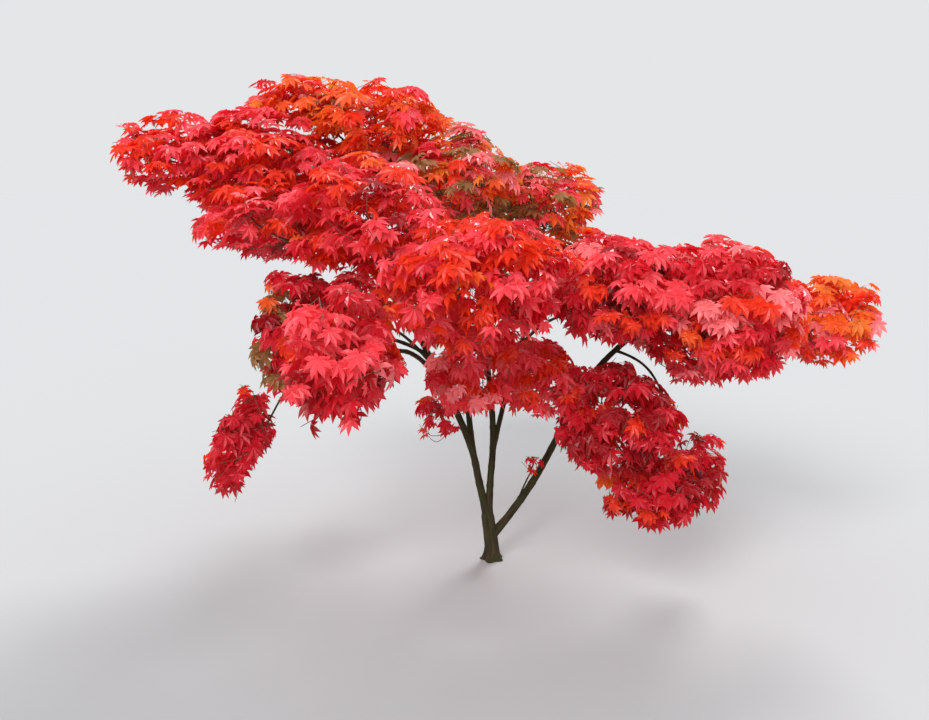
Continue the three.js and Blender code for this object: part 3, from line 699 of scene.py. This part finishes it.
def leaf_shape(number):
    """A natural shape of the leaf: its stalk's foot at the origin, its blade towards +Y, its face to +Z."""
    random = dice(SEEDS["leaf_shapes"] + number)

    def some(label):
        low, high = SHAPE_SPREAD[label]
        return low + (high - low) * random()

    hang = math.radians(some("hang"))
    curl = some("curl")
    crease = some("crease")
    heart = np.array([0, LEAF["stalk"], 0])
    points, faces = [], []

    def place(turn, reach, fold, aside=0.0):
        angle = math.radians(turn)
        x = math.sin(angle) * reach + math.cos(angle) * aside
        y = math.cos(angle) * reach - math.sin(angle) * aside
        z = fold * crease - curl * (x * x + y * y)
        down = np.array([x, y * math.cos(hang) + z * math.sin(hang), z * math.cos(hang) - y * math.sin(hang)])
        points.append(heart + down * LEAF["length"])
        return len(points) - 1

    lobes = [(turn + some("turn"), reach * some("reach")) for turn, reach in LEAF["lobes"]]
    centre = place(0, 0, 0)
    turns = [turn for turn, _ in lobes]
    middles = [(a + b) / 2 for a, b in zip(turns, turns[1:])]
    depth = [LEAF["notch"] * min(a[1], b[1]) for a, b in zip(lobes, lobes[1:])]
    notches = [place(turn, reach, 1) for turn, reach in zip(middles, depth)]
    left, right = (place(side * LEAF["heart_turn"], LEAF["heart_notch"], 1) for side in (-1, 1))
    notches = [left, *notches, right]
    for i, (turn, reach) in enumerate(lobes):
        rib = place(turn, reach * LEAF["rib_at"], 0)
        tip = place(turn, reach, LEAF["tip_fold"])
        half_width = LEAF["half_width"] * reach ** LEAF["width_power"]
        for side, notch in ((-1, notches[i]), (1, notches[i + 1])):
            rim = [centre, notch, place(turn, reach * LEAF["wide_at"], 1, side * half_width)]
            if reach > LEAF["narrow_from_reach"]:
                narrow_width = side * LEAF["narrow_width"]
                rim.append(place(turn, reach * LEAF["narrow_at"], LEAF["narrow_fold"], narrow_width))
            rim.append(tip)
            for a, b in zip(rim, rim[1:]):
                faces.append((rib, b, a) if side < 0 else (rib, a, b))
    first = len(points)
    sides = LEAF["stalk_sides"]
    for share, rise, thick in LEAF["stalk_rings"]:
        out = LEAF["stalk_radius"] * thick
        for corner in range(sides):
            angle = corner * 2 * math.pi / sides + math.pi / 2
            points.append((math.cos(angle) * out, share * LEAF["stalk"], rise + math.sin(angle) * out))
    for ring in range(len(LEAF["stalk_rings"]) - 1):
        for corner in range(sides):
            here = first + ring * sides + corner
            beside = first + ring * sides + (corner + 1) % sides
            faces.append((here, here + sides, beside))
            faces.append((beside, here + sides, beside + sides))
    mesh = bpy.data.meshes.new(f"leaf_shape_{number:02d}")
    mesh.from_pydata([tuple(p) for p in points], [], faces)
    return mesh, hang


def leaf_frame(flat, droop, hang, roll):
    """The stalk's frame for a leaf whose blade hangs by `hang` below the stalk and by `droop` below level."""
    pitch = hang - droop
    ahead = flat * math.cos(pitch) + np.array([0, 0, math.sin(pitch)])
    side = unit(np.cross(flat, [0, 0, 1]))
    face = np.cross(side, ahead)
    cos, sin = math.cos(roll), math.sin(roll)
    side, face = side * cos + face * sin, face * cos - side * sin
    return np.stack([side, ahead, face], axis=1)


def blade_spots(foot, axes, hang, size):
    """The middle of a blade and the tips of its middle and side lobes."""
    side, ahead, face = axes.T
    forward = ahead * math.cos(hang) - face * math.sin(hang)
    heart = foot + ahead * LEAF["stalk"] * size
    length = LEAF["length"] * size
    tips = [heart + forward * length]
    for turn, reach in (LEAF["lobes"][1], LEAF["lobes"][-2]):
        angle = math.radians(turn)
        tips.append(heart + (forward * math.cos(angle) + side * math.sin(angle)) * reach * length)
    return np.array([heart + forward * length * LEAF["middle"], *tips])


class Room:
    """Keeps blades from lying in one another, with a grid of their middles."""

    def __init__(self, size):
        self.size = size
        self.cells = {}

    def take(self, spot):
        cell = tuple(int(c) for c in np.floor(spot / self.size))
        around = [(i, j, k) for i in (-1, 0, 1) for j in (-1, 0, 1) for k in (-1, 0, 1)]
        for step in around:
            for other in self.cells.get(tuple(a + b for a, b in zip(cell, step)), ()):
                if np.linalg.norm(other - spot) < self.size:
                    return False
        self.cells.setdefault(cell, []).append(spot)
        return True


BOX_LOW = np.array(CAD_BOX[0]) - BOX_ROOM
BOX_HIGH = np.array(CAD_BOX[1]) + BOX_ROOM


def fits(index, spots, obstacles):
    """Whether a blade keeps to its mass, to the model's box and off the limbs."""
    own = depths(spots)[:, index]
    if own.max() > REACH or (spots[:, 2] < GROUND_ROOM).any() or own.max() > ragged_edge(index, spots[0]):
        return False
    if (spots < BOX_LOW).any() or (spots > BOX_HIGH).any() or past_flat_side(index, spots):
        return False
    return clear_of(obstacles, spots, LIMB_ROOM)


def deal_tint(tone, knot, random):
    weights = TINTS[tone]
    wave = 0.5 + TINT_WAVE["stretch"] * noise.noise(Vector(knot.spot / TINT_WAVE["size"]))
    pick = TINT_WAVE["share"] * wave + (1 - TINT_WAVE["share"]) * random()
    # Painted shade: below this level the pick leans to the darker tints at the start of the list.
    if knot.level < TINT_WAVE["painted_shade_level"]:
        pick *= TINT_WAVE["painted_shade_share"]
    pick = min(1, max(0, pick)) * sum(weights.values())
    for tint, weight in weights.items():
        pick -= weight
        if pick <= 0:
            return tint
    return tint


def mark_leafy(knot):
    while knot and not knot.is_leafy:
        knot.is_leafy = True
        knot = knot.parent


def leaves_of(index, knots, obstacles, hangs, room):
    """One mass's leaves, in opposite pairs along every fine twig: their places, frames, sizes and tints."""
    name = MASS_NAMES[index]
    random = dice(index + SEEDS["leaves"])
    size_here = min(1, max(OWN_SIZE["least"], min(HALVES[index]) / OWN_SIZE["full_size_half"]))
    for knot in knots[1:]:
        if knot.load > LEAFY_LOAD:
            continue
        tint = deal_tint(MASSES[name][3], knot, random)
        pairs = SIDE_PAIRS if knot.kids else END_PAIRS
        for share, turn in pairs:
            place = share * (len(knot.way) - 1)
            low = min(int(place), len(knot.way) - 2)
            foot = knot.way[low] + (knot.way[low + 1] - knot.way[low]) * (place - low)
            for side in (-1, 1):
                rolls = [random() for _ in range(5)]
                shape = int(rolls[1] * len(hangs)) % len(hangs)
                for less, more_turn, more_droop in LEAF_TRIES:
                    size = size_here * (OWN_SIZE["base"] + OWN_SIZE["spread"] * rolls[0]) * less
                    flat = turned(knot.flat, side * turn + OWN_SWAY["turn"] * (rolls[2] - 0.5) + more_turn)
                    droop = knot.droop + OWN_SWAY["droop"] * (rolls[3] - 0.5) + more_droop
                    axes = leaf_frame(flat, droop, hangs[shape], OWN_SWAY["roll"] * (rolls[4] - 0.5))
                    spots = blade_spots(foot, axes, hangs[shape], size)
                    if fits(index, spots, obstacles) and room.take(spots[0]):
                        mark_leafy(knot)
                        turn_of = tuple(Matrix(axes.tolist()).to_euler())
                        leaf = {"spot": foot, "turn": turn_of, "size": size, "shape": shape}
                        yield leaf | {"tint": tint, "mass": name}
                        break


# Meshes

# What a twig path's spots and a leaf's place carry for the trees that grow on them.
TWIG_FIELDS = {"thickness": "FLOAT"}
LEAF_FIELDS = {"turn": "FLOAT_VECTOR", "size": "FLOAT", "shape": "INT"}


def add_object(name, data):
    item = bpy.data.objects.new(name, data)
    bpy.context.scene.collection.objects.link(item)
    return item


def add_node(tree, kind, settings=None, inputs=None):
    """One node with its settings, and its inputs as values or as the sockets that feed them."""
    node = tree.nodes.new(kind)
    for key, value in (settings or {}).items():
        setattr(node, key, value)
    for key, value in (inputs or {}).items():
        if isinstance(value, bpy.types.NodeSocket):
            tree.links.new(value, node.inputs[key])
        else:
            node.inputs[key].default_value = value
    return node


def growth_tree(name, inputs, fields):
    """An empty Geometry Nodes tree, the node that hands out its named inputs, and the fields it reads."""
    tree = bpy.data.node_groups.new(name, "GeometryNodeTree")
    tree.interface.new_socket("Geometry", in_out="INPUT", socket_type="NodeSocketGeometry")
    for label, kind in inputs.items():
        tree.interface.new_socket(label, in_out="INPUT", socket_type=kind)
    tree.interface.new_socket("Geometry", in_out="OUTPUT", socket_type="NodeSocketGeometry")
    given = tree.nodes.new("NodeGroupInput")
    read = {}
    for label, kind in fields.items():
        field = add_node(tree, "GeometryNodeInputNamedAttribute", {"data_type": kind}, {"Name": label})
        read[label] = field.outputs[0]
    return tree, given, read


def close_tree(tree, given, geometry):
    """Realizes what was made, gives it the material and ends the tree."""
    real = add_node(tree, "GeometryNodeRealizeInstances", inputs={"Geometry": geometry})
    dressed = add_node(
        tree,
        "GeometryNodeSetMaterial",
        inputs={"Geometry": real.outputs[0], "Material": given.outputs["Material"]},
    )
    add_node(tree, "NodeGroupOutput", inputs={0: dressed.outputs[0]})
    return tree


def twig_tree():
    """Round twigs along paths: each spot's own thickness scales a ring with the given number of sides."""
    inputs = {"Sides": "NodeSocketInt", "Material": "NodeSocketMaterial"}
    tree, given, read = growth_tree("twigs", inputs, TWIG_FIELDS)
    paths = add_node(tree, "GeometryNodeMeshToCurve", inputs={"Mesh": given.outputs["Geometry"]})
    ring_inputs = {"Resolution": given.outputs["Sides"], "Radius": 1.0}
    ring = add_node(tree, "GeometryNodeCurvePrimitiveCircle", inputs=ring_inputs)
    tube = add_node(
        tree,
        "GeometryNodeCurveToMesh",
        inputs={
            "Curve": paths.outputs[0],
            "Profile Curve": ring.outputs[0],
            "Scale": read["thickness"],
            "Fill Caps": True,
        },
    )
    return close_tree(tree, given, tube.outputs[0])


def leaf_tree():
    """Leaves on their places: each spot picks its shape and has its own turn and size."""
    inputs = {
        "Shapes": "NodeSocketCollection",
        "Leaf size": "NodeSocketFloat",
        "Material": "NodeSocketMaterial",
    }
    tree, given, read = growth_tree("leaves", inputs, LEAF_FIELDS)
    shapes = add_node(
        tree,
        "GeometryNodeCollectionInfo",
        inputs={"Collection": given.outputs["Shapes"], "Separate Children": True, "Reset Children": True},
    )
    turn = add_node(tree, "FunctionNodeEulerToRotation", inputs={0: read["turn"]})
    factors = {0: read["size"], 1: given.outputs["Leaf size"]}
    size = add_node(tree, "ShaderNodeMath", {"operation": "MULTIPLY"}, factors)
    leaves = add_node(
        tree,
        "GeometryNodeInstanceOnPoints",
        inputs={
            "Points": given.outputs["Geometry"],
            "Instance": shapes.outputs[0],
            "Pick Instance": True,
            "Instance Index": read["shape"],
            "Rotation": turn.outputs[0],
            "Scale": size.outputs[0],
        },
    )
    return close_tree(tree, given, leaves.outputs[0])


def fill_attribute(mesh, label, kind, values):
    field = "vector" if kind == "FLOAT_VECTOR" else "value"
    data = np.asarray(values, dtype=np.int32 if kind == "INT" else np.float32)
    mesh.attributes.new(label, kind, "POINT").data.foreach_set(field, data.ravel())


def grown(name, seed_mesh, tree, values, helpers):
    """Runs a tree on its seed mesh, and gives back its plain mesh as an object, without the helper fields."""
    seat = add_object(f"{name}_seat", seed_mesh)
    modifier = seat.modifiers.new("growth", "NODES")
    modifier.node_group = tree
    for item in tree.interface.items_tree:
        if item.in_out == "INPUT" and item.name in values:
            modifier[item.identifier] = values[item.name]
    graph = bpy.context.evaluated_depsgraph_get()
    graph.update()
    mesh = bpy.data.meshes.new_from_object(seat.evaluated_get(graph), depsgraph=graph)
    bpy.data.objects.remove(seat)
    for label in helpers:
        if label in mesh.attributes:
            mesh.attributes.remove(mesh.attributes[label])
    return add_object(name, mesh)


def twig_piece(paths, material):
    """All the twigs, as one piece."""
    mesh = bpy.data.meshes.new("twig_paths")
    spots = np.concatenate([path for path, _ in paths])
    radii = np.concatenate([radius for _, radius in paths])
    edges, first = [], 0
    for path, _ in paths:
        edges.extend((first + i, first + i + 1) for i in range(len(path) - 1))
        first += len(path)
    mesh.from_pydata([tuple(s) for s in spots], edges, [])
    fill_attribute(mesh, "thickness", "FLOAT", radii)
    values = {"Sides": TWIG_SIDES, "Material": material}
    piece = grown("twigs", mesh, twig_tree(), values, TWIG_FIELDS)
    piece.data.shade_smooth()
    return piece


def leaf_piece(name, leaves, tree, shapes, material):
    """The leaves of one tint, joined."""
    mesh = bpy.data.meshes.new(f"{name}_places")
    mesh.from_pydata([tuple(leaf["spot"]) for leaf in leaves], [], [])
    for label, kind in LEAF_FIELDS.items():
        fill_attribute(mesh, label, kind, [leaf[label] for leaf in leaves])
    values = {"Shapes": shapes, "Leaf size": 1.0, "Material": material}
    return grown(name, mesh, tree, values, LEAF_FIELDS)


# Bark: the real sizes of its furrows, lumps and bud rings, the collar where a limb swells to meet its parent,
# and how much further along the pattern each next limb starts.
BARK = dict(
    furrow=0.0065, furrow_length=0.05, furrow_depth=0.0011, depth_share=0.07, ridge=0.35, ridge_slope=2,
    lump=0.045, lump_share=0.05, lump_shift=3,
    collar=0.3, collar_most=0.84, collar_from=0.8, collar_length=1.7,
    bud_spacing=0.085, bud_share=0.1, bud_length=0.006, bud_most_radius=0.016,
    next_limb=0.37,
)
# How finely each kind of limb is drawn: its sides and the distance between its rings, with a least number of
# rings. A ring's first side turns to another way where the limb runs nearly along it.
DRAWN = {"trunk": (44, 0.005), "stem": (20, 0.008), "bough": (12, 0.009)}
LEAST_RINGS = 4
NEARLY_ALONG = 0.95


def relief(straight, along, radius, offset):
    """How far the bark stands out at a spot of the limb, measured as if the limb were straight."""
    x, y = straight
    fine, coarse = BARK["furrow"], BARK["lump"]
    furrow = noise.noise(Vector((x / fine, y / fine, along / BARK["furrow_length"] + offset)))
    lump = noise.noise(Vector((x / coarse, y / coarse, along / coarse + offset * BARK["lump_shift"])))
    ridge = BARK["ridge"] - abs(furrow) * BARK["ridge_slope"]
    swelling = 0
    if radius < BARK["bud_most_radius"]:
        bud = (along + offset) % BARK["bud_spacing"] - BARK["bud_spacing"] / 2
        swelling = BARK["bud_share"] * math.exp(-((bud / BARK["bud_length"]) ** 2))
    depth = min(BARK["furrow_depth"], radius * BARK["depth_share"])
    return depth * ridge + radius * (BARK["lump_share"] * lump + swelling)


def limb_mesh(name, limb, offset):
    """One limb's points, faces and grain: rings along its line, with a collar where it leaves its parent."""
    kind = "trunk" if name == "trunk" else "stem" if name in STEMS else "bough"
    sides, spacing = DRAWN[kind]
    line = limb["line"]
    rings = max(LEAST_RINGS, math.ceil(line.length / spacing))
    side = np.array([1.0, 0, 0])
    foot = limb["radius_at"](0)
    collar = min(BARK["collar"], max(0, limb["sunk"] * BARK["collar_most"] / foot - 1))
    points, grain = [], []
    for ring in range(rings + 1):
        share = ring / rings
        spot, heading = line.point(share), line.heading(share)
        if abs(side @ heading) > NEARLY_ALONG:
            side = np.array([0, 1.0, 0])
        side = unit(side - heading * (side @ heading))
        up = np.cross(heading, side)
        along = share * line.length
        beyond = max(0, along - limb["sunk"] * BARK["collar_from"])
        for corner in range(sides):
            angle = corner * 2 * math.pi / sides
            cos, sin = math.cos(angle), math.sin(angle)
            radius = limb["radius_at"](share, angle)
            radius *= 1 + collar * math.exp(-beyond / (radius * BARK["collar_length"]))
            straight = (cos * radius, sin * radius)
            out = radius + relief(straight, along, radius, offset)
            place = spot + side * cos * out + up * sin * out
            points.append((place[0], place[1], max(0.0, place[2])))
            grain.append((straight[0], straight[1], along + offset))
    faces = []
    for ring in range(rings):
        for corner in range(sides):
            here = ring * sides + corner
            beside = ring * sides + (corner + 1) % sides
            faces.append((here, beside, beside + sides, here + sides))
    faces.append(tuple(range(sides))[::-1])
    faces.append(tuple(rings * sides + corner for corner in range(sides)))
    return points, faces, grain


def bark_piece(material):
    """Trunk, stems and boughs as one mesh with the bark's relief."""
    points, faces, grain = [], [], []
    for number, (name, limb) in enumerate(limbs.items()):
        more_points, more_faces, more_grain = limb_mesh(name, limb, number * BARK["next_limb"])
        faces.extend(tuple(len(points) + corner for corner in face) for face in more_faces)
        points.extend(more_points)
        grain.extend(more_grain)
    mesh = bpy.data.meshes.new("bark")
    mesh.from_pydata(points, [], faces)
    fill_attribute(mesh, "grain", "FLOAT_VECTOR", grain)
    mesh.materials.append(material)
    mesh.shade_smooth()
    return add_object("bark", mesh)


# Materials


def linear(hex_colour):
    """An sRGB hex colour as linear red, green, blue and 1."""
    channels = [int(hex_colour[i : i + 2], 16) / 255 for i in (1, 3, 5)]
    return (*(c / 12.92 if c <= 0.04045 else ((c + 0.055) / 1.055) ** 2.4 for c in channels), 1.0)


def new_material(name):
    material = bpy.data.materials.new(name)
    material.use_nodes = True
    material.node_tree.nodes.clear()
    return material, material.node_tree


# Each tint of the autumn leaf: a slot name of the record, which is not used, the colour of its face, and
# the colour that glows through it from behind.
LEAF_TINTS = {
    # A painted highlight: this pale pink tint stands in for the sky's sheen on the waxy faces.
    "pale_rose": ("leaves_scarlet", "#f08488", "#ff7e7c"),
    "rose": ("leaves_scarlet", "#e84c58", "#ff4a4d"),
    "scarlet": ("leaves_scarlet", "#de3a20", "#ff4616"),
    "crimson": ("leaves_crimson", "#c41e2e", "#f0222d"),
    "deep_red": ("leaves_deep_red", "#9e1a22", "#cc1e1c"),
    "wine": ("leaves_deep_red", "#721622", "#a41820"),
    "orange_red": ("leaves_orange_red", "#e66028", "#ff7a22"),
    "orange": ("leaves_orange_red", "#de7c30", "#ff9a36"),
    "bronze": ("leaves_orange_red", "#946a40", "#bc8c4a"),
}
GLOW_SHARE = 0.42


def leaf_material(tint):
    """A thin waxy maple leaf: a soft sheen of the sky on its face, and light that comes through the blade."""
    _, face, glow = LEAF_TINTS[tint]
    material, tree = new_material(f"maple_leaf_{tint}")
    wax = {"Base Color": linear(face), "Roughness": 0.38, "IOR": 1.48}
    waxy = add_node(tree, "ShaderNodeBsdfPrincipled", inputs=wax)
    through = add_node(tree, "ShaderNodeBsdfTranslucent", inputs={"Color": linear(glow)})
    sides = {0: GLOW_SHARE, 1: waxy.outputs[0], 2: through.outputs[0]}
    blade = add_node(tree, "ShaderNodeMixShader", inputs=sides)
    add_node(tree, "ShaderNodeOutputMaterial", inputs={"Surface": blade.outputs[0]})
    return material


# Smooth maple bark: its ground colour, then what lies on it, in order: the texture, its real size, how it is
# drawn, the range of it that shows, how strongly at each end, and its colour.
BARK_GROUND = "#1a130a"
BARK_LAYERS = {
    "streaks": ("Noise", 0.011, {"Detail": 6.0, "Roughness": 0.62}, (0.36, 0.66), (0.0, 1.0), "#41351f"),
    "algae": ("Noise", 0.06, {"Detail": 4.0}, (0.42, 0.62), (0.0, 0.6), "#2e3412"),
    "pores": ("Voronoi", 0.004, {}, (0.1, 0.24), (0.35, 0.0), "#64563c"),
}
# The streaks are drawn out along the limb.
STREAK_STRETCH = (1, 1, 0.12)


# A Mix node has its share at input 0, its colours at 6 and 7, and the mixed colour at output 2.
def bark_material():
    """Smooth maple bark: long pale streaks that stand out, patches of green algae and small pores."""
    material, tree = new_material("maple_bark")
    grain = add_node(tree, "ShaderNodeAttribute", {"attribute_name": "grain"}).outputs["Vector"]
    stretched = add_node(tree, "ShaderNodeMapping", inputs={"Vector": grain, "Scale": STREAK_STRETCH})
    colour = linear(BARK_GROUND)
    patterns = {}
    for layer, (kind, size, drawn, (low, high), (least, most), hex_colour) in BARK_LAYERS.items():
        spot = stretched.outputs[0] if layer == "streaks" else grain
        inputs = {"Vector": spot, "Scale": 1 / size} | drawn
        patterns[layer] = add_node(tree, f"ShaderNodeTex{kind}", inputs=inputs).outputs[0]
        shown = {"Value": patterns[layer], "From Min": low, "From Max": high, "To Min": least, "To Max": most}
        share = add_node(tree, "ShaderNodeMapRange", inputs=shown)
        mixed = {0: share.outputs[0], 6: colour, 7: linear(hex_colour)}
        colour = add_node(tree, "ShaderNodeMix", {"data_type": "RGBA"}, mixed).outputs[2]
    relief = {"Strength": 0.5, "Distance": 0.0012, "Height": patterns["streaks"]}
    bump = add_node(tree, "ShaderNodeBump", inputs=relief)
    matt = {"Base Color": colour, "Roughness": 0.85, "Specular IOR Level": 0.25, "Normal": bump.outputs[0]}
    surface = add_node(tree, "ShaderNodeBsdfPrincipled", inputs=matt)
    add_node(tree, "ShaderNodeOutputMaterial", inputs={"Surface": surface.outputs[0]})
    return material


def twig_material():
    """Young maple wood: a smooth red-brown skin with a slight sheen."""
    material, tree = new_material("young_maple_wood")
    spot = add_node(tree, "ShaderNodeTexCoord").outputs["Object"]
    mottle = add_node(tree, "ShaderNodeTexNoise", inputs={"Vector": spot, "Scale": 1 / 0.03, "Detail": 3.0})
    browns = {0: mottle.outputs[0], 6: linear("#3c2a22"), 7: linear("#6a4a38")}
    skin = add_node(tree, "ShaderNodeMix", {"data_type": "RGBA"}, browns)
    smooth = {"Base Color": skin.outputs[2], "Roughness": 0.6}
    surface = add_node(tree, "ShaderNodeBsdfPrincipled", inputs=smooth)
    add_node(tree, "ShaderNodeOutputMaterial", inputs={"Surface": surface.outputs[0]})
    return material


def floor_material():
    """Matt pale studio board."""
    material, tree = new_material("pale_board")
    board = add_node(tree, "ShaderNodeBsdfDiffuse", inputs={"Color": linear(FLOOR["colour"])})
    add_node(tree, "ShaderNodeOutputMaterial", inputs={"Surface": board.outputs[0]})
    return material


# Stage, camera and light

# The photographer's eye, 3.5 m in front of the trunk, looking a little down.
EYE = (-0.118, -3.5, 1.55)
LOOK_DOWN = 11.1
LENS = 33.83
SENSOR = 36

# The floor is just below the trunk's foot, and so wide and so near the sky's colour that no edge shows.
FLOOR = {"colour": "#aeafb0", "reach": 180, "level": -0.001}
SKY_COLOUR = "#e4e6e8"

# Wide far lights, as even over the whole floor as over the tree: the way each one comes from, how wide it is
# seen, in degrees, and its power.
LIGHTS = {
    "key_light": ((-1.9, -4.0, 3.3), 30, 2.7),
    "low_light": ((0.8, -4.0, 0.5), 50, 0.65),
    "back_light": ((1.8, 3.4, 3.4), 20, 2.4),
}


def add_camera():
    data = bpy.data.cameras.new("camera")
    data.lens = LENS
    data.sensor_width = SENSOR
    data.clip_start, data.clip_end = 0.05, 200
    camera = add_object("camera", data)
    camera.location = EYE
    camera.rotation_euler = (math.radians(90 - LOOK_DOWN), 0, 0)
    bpy.context.scene.camera = camera


def add_stage():
    mesh = bpy.data.meshes.new("floor")
    far, low = FLOOR["reach"], FLOOR["level"]
    corners = [(-far, -far, low), (far, -far, low), (far, far, low), (-far, far, low)]
    mesh.from_pydata(corners, [], [(0, 1, 2, 3)])
    mesh.materials.append(floor_material())
    floor = add_object("floor", mesh)
    for name, (spot, width, power) in LIGHTS.items():
        data = bpy.data.lights.new(name, "SUN")
        data.angle = math.radians(width)
        data.energy = power
        light = add_object(name, data)
        light.location = spot
        light.rotation_euler = (-Vector(spot)).to_track_quat("-Z", "Y").to_euler()
    world = bpy.data.worlds.new("studio")
    world.use_nodes = True
    world.node_tree.nodes["Background"].inputs["Color"].default_value = linear(SKY_COLOUR)
    world.node_tree.nodes["Background"].inputs["Strength"].default_value = 1.0
    bpy.context.scene.world = world
    bpy.context.scene.view_settings.view_transform = "Standard"


# The tree


def dress():
    grow_limbs()
    bark = bark_piece(bark_material())
    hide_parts(*limbs)
    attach(bark, "root")

    shapes = bpy.data.collections.new("leaf_shapes")
    hangs = []
    for number in range(LEAF_SHAPES):
        mesh, hang = leaf_shape(number)
        shapes.objects.link(bpy.data.objects.new(mesh.name, mesh))
        hangs.append(hang)

    paths, leaves, room = [], [], Room(BLADE_ROOM)
    for index in range(len(MASSES)):
        stem, knots, obstacles = grow_twigs(index)
        grown_paths = twig_paths(stem, knots)
        leaves.extend(leaves_of(index, knots, obstacles, hangs, room))
        paths.extend(leafy_paths(grown_paths))

    twigs = twig_piece(paths, twig_material())
    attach(twigs, "root")

    tree = leaf_tree()
    for tint, (slot, _, _) in LEAF_TINTS.items():
        own = [leaf for leaf in leaves if leaf["tint"] == tint]
        piece = leaf_piece(f"leaves_{tint}_spray", own, tree, shapes, leaf_material(tint))
        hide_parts(*sorted({f"leaves_{leaf['mass']}" for leaf in own}))
        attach(piece, "root")
    for shape in list(shapes.objects):
        bpy.data.objects.remove(shape)
    bpy.data.collections.remove(shapes)


add_camera()
add_stage()
dress()
